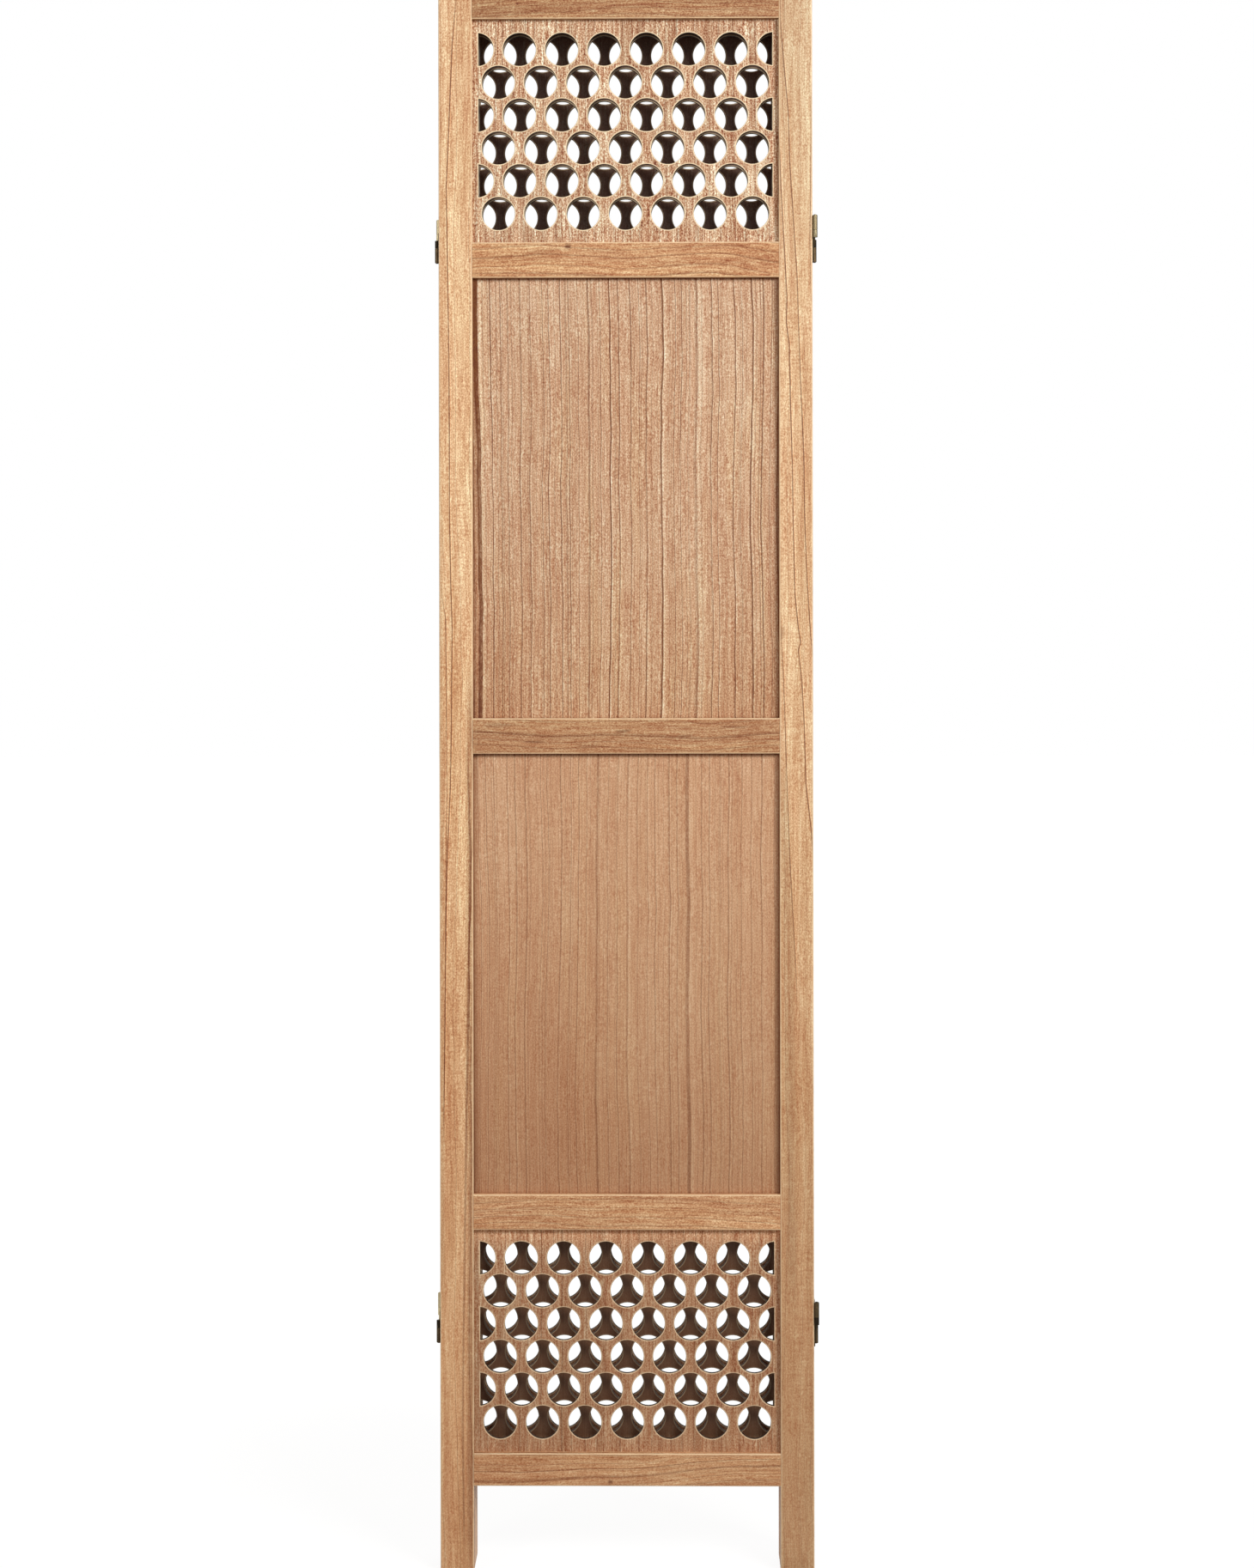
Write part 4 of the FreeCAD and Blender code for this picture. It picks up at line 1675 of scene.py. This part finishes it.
# Joins or cuts solids, breaks the arrises and gives the finished mesh
def forged(base, joins, cuts, bevel):
    for operation, others in (("UNION", joins), ("DIFFERENCE", cuts)):
        for other in others:
            modifier = base.modifiers.new(operation, "BOOLEAN")
            modifier.operation = operation
            modifier.solver = "EXACT"
            modifier.object = other
    if bevel:
        modifier = base.modifiers.new("arris", "BEVEL")
        modifier.width = bevel
        modifier.segments = 2
        modifier.limit_method = "ANGLE"
        modifier.angle_limit = bevelFrom
    mesh = evaluatedMesh(base)
    for solid in (base, *joins, *cuts):
        bpy.data.objects.remove(solid)
    reworked(mesh, markEdges)
    shaded(mesh, hingeSizes["sharpDegrees"])
    return mesh


fullEdge = math.radians(40)


# An edge value of 1 where faces meet at a sharp turn
def markEdges(work):
    bmesh.ops.remove_doubles(work, verts=work.verts, dist=sameHeight)
    faceOutwards(work)
    layer = work.verts.layers.float.new("edge")
    for vertex in work.verts:
        turns = [edge.calc_face_angle(0.0) for edge in vertex.link_edges]
        vertex[layer] = min(1.0, max(turns, default=0.0) / fullEdge)


def roundedRectangle(lowU, highU, lowV, highV, radius, steps):
    points = []
    corners = ((highU, highV, 0), (lowU, highV, 1), (lowU, lowV, 2), (highU, lowV, 3))
    for u, v, quarter in corners:
        centreU = u - radius if u == highU else u + radius
        centreV = v - radius if v == highV else v + radius
        for step in range(steps + 1):
            angle = quarterTurn * (quarter + step / steps)
            points.append((centreU + radius * math.cos(angle), centreV + radius * math.sin(angle)))
    return points


# The section of a leaf's rolled end, in (out, back): a strip that runs along the stile and
# curls round its pin
def rolledSection(pinBack):
    size = hingeSizes
    halfThick = size["leafThick"] / 2
    roll = size["barrelRadius"] - halfThick
    middles = []
    straight = size["leafClear"] + size["cornerRadius"]
    for step in range(size["liftSteps"]):
        back = straight * (1 - step / size["liftSteps"])
        share = limited(1 - back / size["leafClear"])
        lift = (size["pinOut"] - roll - halfThick) * share * share * (3 - 2 * share)
        middles.append((halfThick + lift, back))
    for step in range(size["rollSteps"] + 1):
        angle = size["rollTurn"] * step / size["rollSteps"]
        middles.append((size["pinOut"] - roll * math.cos(angle), -roll * math.sin(angle)))
    sides = ([], [])
    for index, (out, back) in enumerate(middles):
        before = middles[max(index - 1, 0)]
        after = middles[min(index + 1, len(middles) - 1)]
        run = Vector((after[0] - before[0], after[1] - before[1])).normalized()
        sides[0].append((out + run.y * halfThick, pinBack + back - run.x * halfThick))
        sides[1].append((out - run.y * halfThick, pinBack + back + run.x * halfThick))
    return sides[0] + sides[1][::-1]


# Cuts a countersunk hole through a leaf
def sinkCutter(back, height):
    above, below = sinkSizes["above"], -sinkSizes["below"]
    wide = screwSizes["Head Radius"] + sinkSizes["gap"]
    narrow = screwSizes["Shank Radius"] + sinkSizes["gap"]
    profile = [(0, above), (wide + above, above), (narrow, narrow - wide), (narrow, below), (0, below)]
    cutter = turned(profile, (0, 0), hingeSizes["segments"])
    place = Matrix.Translation((hingeSizes["leafThick"], back, height))
    cutter.data.transform(place @ Matrix.Rotation(quarterTurn, 4, "Y"))
    return cutter


# A leaf: drilled plate on the stile's edge, with its knuckle in the upper or the lower half
def leafMesh(pinBack, up):
    size = hingeSizes
    start = pinBack + size["leafClear"]
    end = pinBack + size["panelPitch"] - size["leafClear"]
    tall = size["halfHeight"]
    outline = roundedRectangle(start, end, -tall, tall, size["cornerRadius"], size["cornerSteps"])
    plate = prism(outline, 0, size["leafThick"], lambda back, height, out: (out, back, height))
    span = sorted((up * size["knuckleStart"], up * tall))
    knuckle = prism(rolledSection(pinBack), *span, lambda out, back, height: (out, back, height))
    cuts = [sinkCutter((start + end) / 2, way * size["screwSpread"]) for way in (-1, 1)]
    return forged(plate, [knuckle], cuts, size["bevel"])


# A tube with broken edges round a pin
def eye(back, low, high):
    size = hingeSizes
    outer, inner, chamfer = size["barrelRadius"], size["boreRadius"], size["bevel"]
    section = [(inner, low), (outer - chamfer, low), (outer, low + chamfer)]
    section += [(outer, high - chamfer), (outer - chamfer, high), (inner, high)]
    return turned(section, (size["pinOut"], back), size["segments"], ring=True)


def linkMesh():
    size = hingeSizes
    inner = size["linkInner"]
    reach = size["linkReach"]
    pitch = size["panelPitch"]
    corners = [(0, -reach), (pitch, -reach), (pitch, reach), (0, reach)]
    plate = prism(corners, inner, inner + size["leafThick"], lambda back, height, out: (out, back, height))
    eyes = [eye(0, size["knuckleGap"], reach), eye(pitch, -reach, -size["knuckleGap"])]
    bores = []
    for back, low, high in ((0, 0, 2 * reach), (pitch, -2 * reach, 0)):
        bore = [(0, low), (size["boreRadius"], low), (size["boreRadius"], high), (0, high)]
        bores.append(turned(bore, (size["pinOut"], back), size["segments"]))
    return forged(plate, eyes, bores, size["bevel"])


def pinMesh(back, up):
    size = pinSizes
    shank, head, chamfer = size["shankRadius"], size["headRadius"], size["chamfer"]
    seat = hingeSizes["halfHeight"]
    foot = hingeSizes["knuckleGap"]
    profile = [(0, foot), (shank - chamfer, foot), (shank, foot + chamfer), (shank, seat)]
    profile += [(head - chamfer / 2, seat), (head, seat + chamfer / 2)]
    dome = size["headHeight"] - size["headEdge"]
    for step in range(size["domeSteps"]):
        angle = quarterTurn * step / size["domeSteps"]
        profile.append((head * math.cos(angle), seat + size["headEdge"] + dome * math.sin(angle)))
    profile.append((0, seat + size["headHeight"]))
    profile = [(radius, up * height) for radius, height in profile]
    return forged(turned(profile, (hingeSizes["pinOut"], back), size["segments"]), [], [], 0)


# A slotted countersunk screw, its head's face at zero and its point downwards
def screwTree():
    inputs = {"Geometry": "Geometry", **screwSizes, "Material": "Material"}
    tree, given, result = newTree("slottedScrew", "GeometryNodeTree", inputs, {"Geometry": "Geometry"})

    def cone(top, bottom, depth):
        feeds = {
            "Vertices": given["Segments"],
            "Side Segments": 1,
            "Fill Segments": 1,
            "Radius Top": top,
            "Radius Bottom": bottom,
            "Depth": depth,
        }
        return flow(tree, "GeometryNodeMeshCone", feeds)

    def lifted(geometry, level):
        feeds = {"Geometry": geometry, "Translation": combine(0.0, 0.0, level)}
        return flow(tree, "GeometryNodeTransform", feeds)

    head, shank, point = given["Head Radius"], given["Shank Radius"], given["Point Length"]
    headDepth = head - shank
    straight = given["Length"] - point - headDepth
    headLevel = headDepth * -1.0
    shankLevel = headLevel - straight
    solid = joined(
        lifted(cone(head, shank, headDepth), headLevel),
        cone(head * given["Crown Share"], head, given["Crown"]),
        lifted(cone(shank, shank, straight), shankLevel),
        lifted(cone(shank, given["Point Radius"], point), shankLevel - point),
    )
    cutterSize = combine(head * 3.0, given["Slot Width"], given["Slot Depth"] * 2.0)
    cutter = lifted(flow(tree, "GeometryNodeMeshCube", {"Size": cutterSize}), given["Crown"])
    cutting = {0: solid, 1: cutter, "Self Intersection": True}
    slotted = flow(tree, "GeometryNodeMeshBoolean", cutting, operation="DIFFERENCE", solver="EXACT")
    aim = flow(tree, "GeometryNodeInputNamedAttribute", {"Name": "aim"}, data_type="FLOAT_VECTOR")
    feeds = {"Points": given["Geometry"], "Instance": slotted, "Rotation": aim}
    giveOut(flow(tree, "GeometryNodeInstanceOnPoints", feeds), given, result)
    return tree


# Where a hinge stands: its near pin's line, at the hinge's middle height. On the left edge the
# same hinge is upside down.
def hingePlace(prefix):
    low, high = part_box(f"{prefix}_link")
    side = 1 if low.x > 0 else -1
    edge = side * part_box("panel_1_right_stile")[1].x
    place = Matrix.Translation((edge, low.y + hingeSizes["barrelRadius"], (low.z + high.z) / 2))
    return place if side > 0 else place @ Matrix.Rotation(math.pi, 4, "Y")


pitch = hingeSizes["panelPitch"]
hingeParts = {
    "near_leaf": ([leafMesh(0, 1)], "hinge_metal", "strip"),
    "far_leaf": ([leafMesh(pitch, -1)], "hinge_metal", "strip"),
    "link": ([linkMesh()], "hinge_metal", "strap"),
    "pins": ([pinMesh(0, 1), pinMesh(pitch, -1)], "pin_metal", "turned"),
}
junctions = {"right": 1, "left": 2}  # each junction's nearer panel
# Painted highlight: how much the upper half of a hinge is painted brighter, as if lit
hingeHighlight = {("right", "upper"): 0.3, ("left", "upper"): 0.9, ("left", "lower"): 0.9}
screwPlaces = {number: {"points": [], "aims": []} for number in panelNumbers}
spinDraw = random.Random(5)


def makeHinge(junction, level):
    prefix = f"{junction}_{level}_hinge"
    place = hingePlace(prefix)
    highlighted = hingeHighlight.get((junction, level), 0.0)
    for part, (meshes, slotName, word) in hingeParts.items():
        work = bmesh.new()
        for mesh in meshes:
            work.from_mesh(mesh)
        finished = bpy.data.meshes.new(f"{prefix}_{part}_{word}")
        work.to_mesh(finished)
        work.free()
        finished.transform(place)
        shaded(finished, hingeSizes["sharpDegrees"])
        # Painted highlight on the upper half
        paintedHighlight = [highlighted * (vertex.co.z > place.translation.z) for vertex in finished.vertices]
        pointValues(finished, "paintedHighlight", paintedHighlight)
        settle(finished, f"{prefix}_{part}", slotName)
    for step in (0, 1):
        for way in (-1, 1):
            head = Vector((hingeSizes["leafThick"], pitch * (step + 0.5), way * hingeSizes["screwSpread"]))
            spin = Matrix.Rotation(spinDraw.uniform(0, math.pi), 4, "X")
            aim = place.to_3x3().to_4x4() @ spin @ Matrix.Rotation(quarterTurn, 4, "Y")
            screws = screwPlaces[junctions[junction] + step]
            screws["points"].append(tuple(place @ head))
            screws["aims"].append(tuple(aim.to_euler()))


for junctionName in junctions:
    for levelName in ("upper", "lower"):
        makeHinge(junctionName, levelName)
print("hinges made")

slottedScrewTree = screwTree()
screwValues = {**screwSizes, "Material": materials["screw_metal"]}
screwSharp = 30
for panelNumber in panelNumbers:
    screws = meshFromTree(slottedScrewTree, screwValues, **screwPlaces[panelNumber])
    screws.name = f"panel_{panelNumber}_hinge_screws_slotted"
    reworked(screws, markEdges)
    shaded(screws, screwSharp)
    settle(screws, f"panel_{panelNumber}_hinge_screws", "screw_metal")
print("screws made")

for panelNumber in panelNumbers:
    dowels = frame["nodes"][f"panel_{panelNumber}_dowels"]
    dowels.data.materials.clear()
    dowels.data.materials.append(materials["dowel_wood"])


# The camera stands square to the front, a little to the right
cameraPlace = {
    "location": (0.037, -3.29, 1.075),
    "yaw": math.radians(0.66),
    "roll": math.radians(0.09),
    "lens": 70.0,
    "sensor": 36.0,
    "shiftX": 0.00104,
    "shiftY": -0.1382,
    "farEnd": 60.0,
}
cameraData = bpy.data.cameras.new("camera")
camera = addObject("camera", cameraData)
camera.location = cameraPlace["location"]
camera.rotation_euler = (quarterTurn, cameraPlace["roll"], cameraPlace["yaw"])
cameraData.sensor_width = cameraPlace["sensor"]
cameraData.lens = cameraPlace["lens"]
cameraData.shift_x = cameraPlace["shiftX"]
cameraData.shift_y = cameraPlace["shiftY"]
cameraData.clip_end = cameraPlace["farEnd"]
bpy.context.scene.camera = camera


lamps = {
    "mainPanel": {
        "at": (1.75, -2.5, 2.4),
        "aim": (0, 0, 1.2),
        "size": (1.2, 0.9),
        "power": 76.0,
        "tint": (1, 0.985, 0.96),
    },
    "sidePanel": {
        "at": (-1.7, -2.6, 1.9),
        "aim": (0, 0, 1.2),
        "size": (0.5, 0.7),
        "power": 20.0,
        "tint": (1, 0.98, 0.95),
    },
    "backPanel": {
        "at": (0.6, 2.8, 2.4),
        "aim": (0, 0, 0.9),
        "size": (1.6, 1.2),
        "power": 34.0,
        "tint": (1, 0.99, 0.97),
    },
}
for lampName, lamp in lamps.items():
    lampData = bpy.data.lights.new(lampName, "AREA")
    lampData.shape = "RECTANGLE"
    lampData.size, lampData.size_y = lamp["size"]
    lampData.energy = lamp["power"]
    lampData.color = lamp["tint"]
    lampObject = addObject(lampName, lampData)
    lampObject.location = lamp["at"]
    lookWay = Vector(lamp["aim"]) - Vector(lamp["at"])
    lampObject.rotation_euler = lookWay.to_track_quat("-Z", "Y").to_euler()


# Where the camera, a gloss or a glass looks past the object, it sees plain white
def seenDirectly(tree):
    path = put(tree, "ShaderNodeLightPath").outputs
    seen = maths("MAXIMUM", Flow(path["Is Camera Ray"]), Flow(path["Is Glossy Ray"]))
    return maths("MAXIMUM", seen, Flow(path["Is Transmission Ray"]))


def mixShader(share, first, second):
    return flow(treeOf([share]), "ShaderNodeMixShader", {0: share, 1: first, 2: second})


studioFinish = {
    "soft": {"Color": (1.0, 0.97, 0.93, 1), "Strength": 0.3},
    "plain": {"Color": (1, 1, 1, 1), "Strength": 1.0},
    "floorPaint": {"Color": (0.86, 0.85, 0.84, 1)},
    "floorBounce": {"Color": (0.4, 0.34, 0.28, 1)},
    "floorGlow": {"Color": (1, 1, 1, 1), "Strength": 1.07},
    "glowRise": (0.4, 1.5),
    "leastGlow": 0.86,
    "floorReach": 14.0,
}

world = bpy.data.worlds.new("studio")
bpy.context.scene.world = world
worldTree = bareTree(world)
soft = flow(worldTree, "ShaderNodeBackground", studioFinish["soft"])
plain = flow(worldTree, "ShaderNodeBackground", studioFinish["plain"])
put(worldTree, "ShaderNodeOutputWorld", {"Surface": mixShader(seenDirectly(worldTree), soft, plain)})

floorMaterial = bpy.data.materials.new("floorPaint")
floorTree = bareTree(floorMaterial)
floorPaint = flow(floorTree, "ShaderNodeBsdfDiffuse", studioFinish["floorPaint"])
floorBounce = flow(floorTree, "ShaderNodeBsdfDiffuse", studioFinish["floorBounce"])
floorGlow = flow(floorTree, "ShaderNodeEmission", studioFinish["floorGlow"])
floorPlace = {0: objectPlace(floorTree)}
floorAway = flow(floorTree, "ShaderNodeVectorMath", floorPlace, "Value", operation="LENGTH")
leastGlow = studioFinish["leastGlow"]
glowShare = rise(floorAway, *studioFinish["glowRise"]) * (1 - leastGlow) + leastGlow
floorSeen = mixShader(glowShare, floorPaint, floorGlow)
floorMix = mixShader(seenDirectly(floorTree), floorBounce, floorSeen)
put(floorTree, "ShaderNodeOutputMaterial", {"Surface": floorMix})
reach = studioFinish["floorReach"]
floorMesh = bpy.data.meshes.new("floor")
floorCorners = [(-reach, -reach, 0), (reach, -reach, 0), (reach, reach, 0), (-reach, reach, 0)]
floorMesh.from_pydata(floorCorners, [], [(0, 1, 2, 3)])
floorMesh.materials.append(floorMaterial)
floor = addObject("floor", floorMesh)
bpy.context.scene.view_settings.view_transform = "Standard"
print("camera, lamps and floor set")
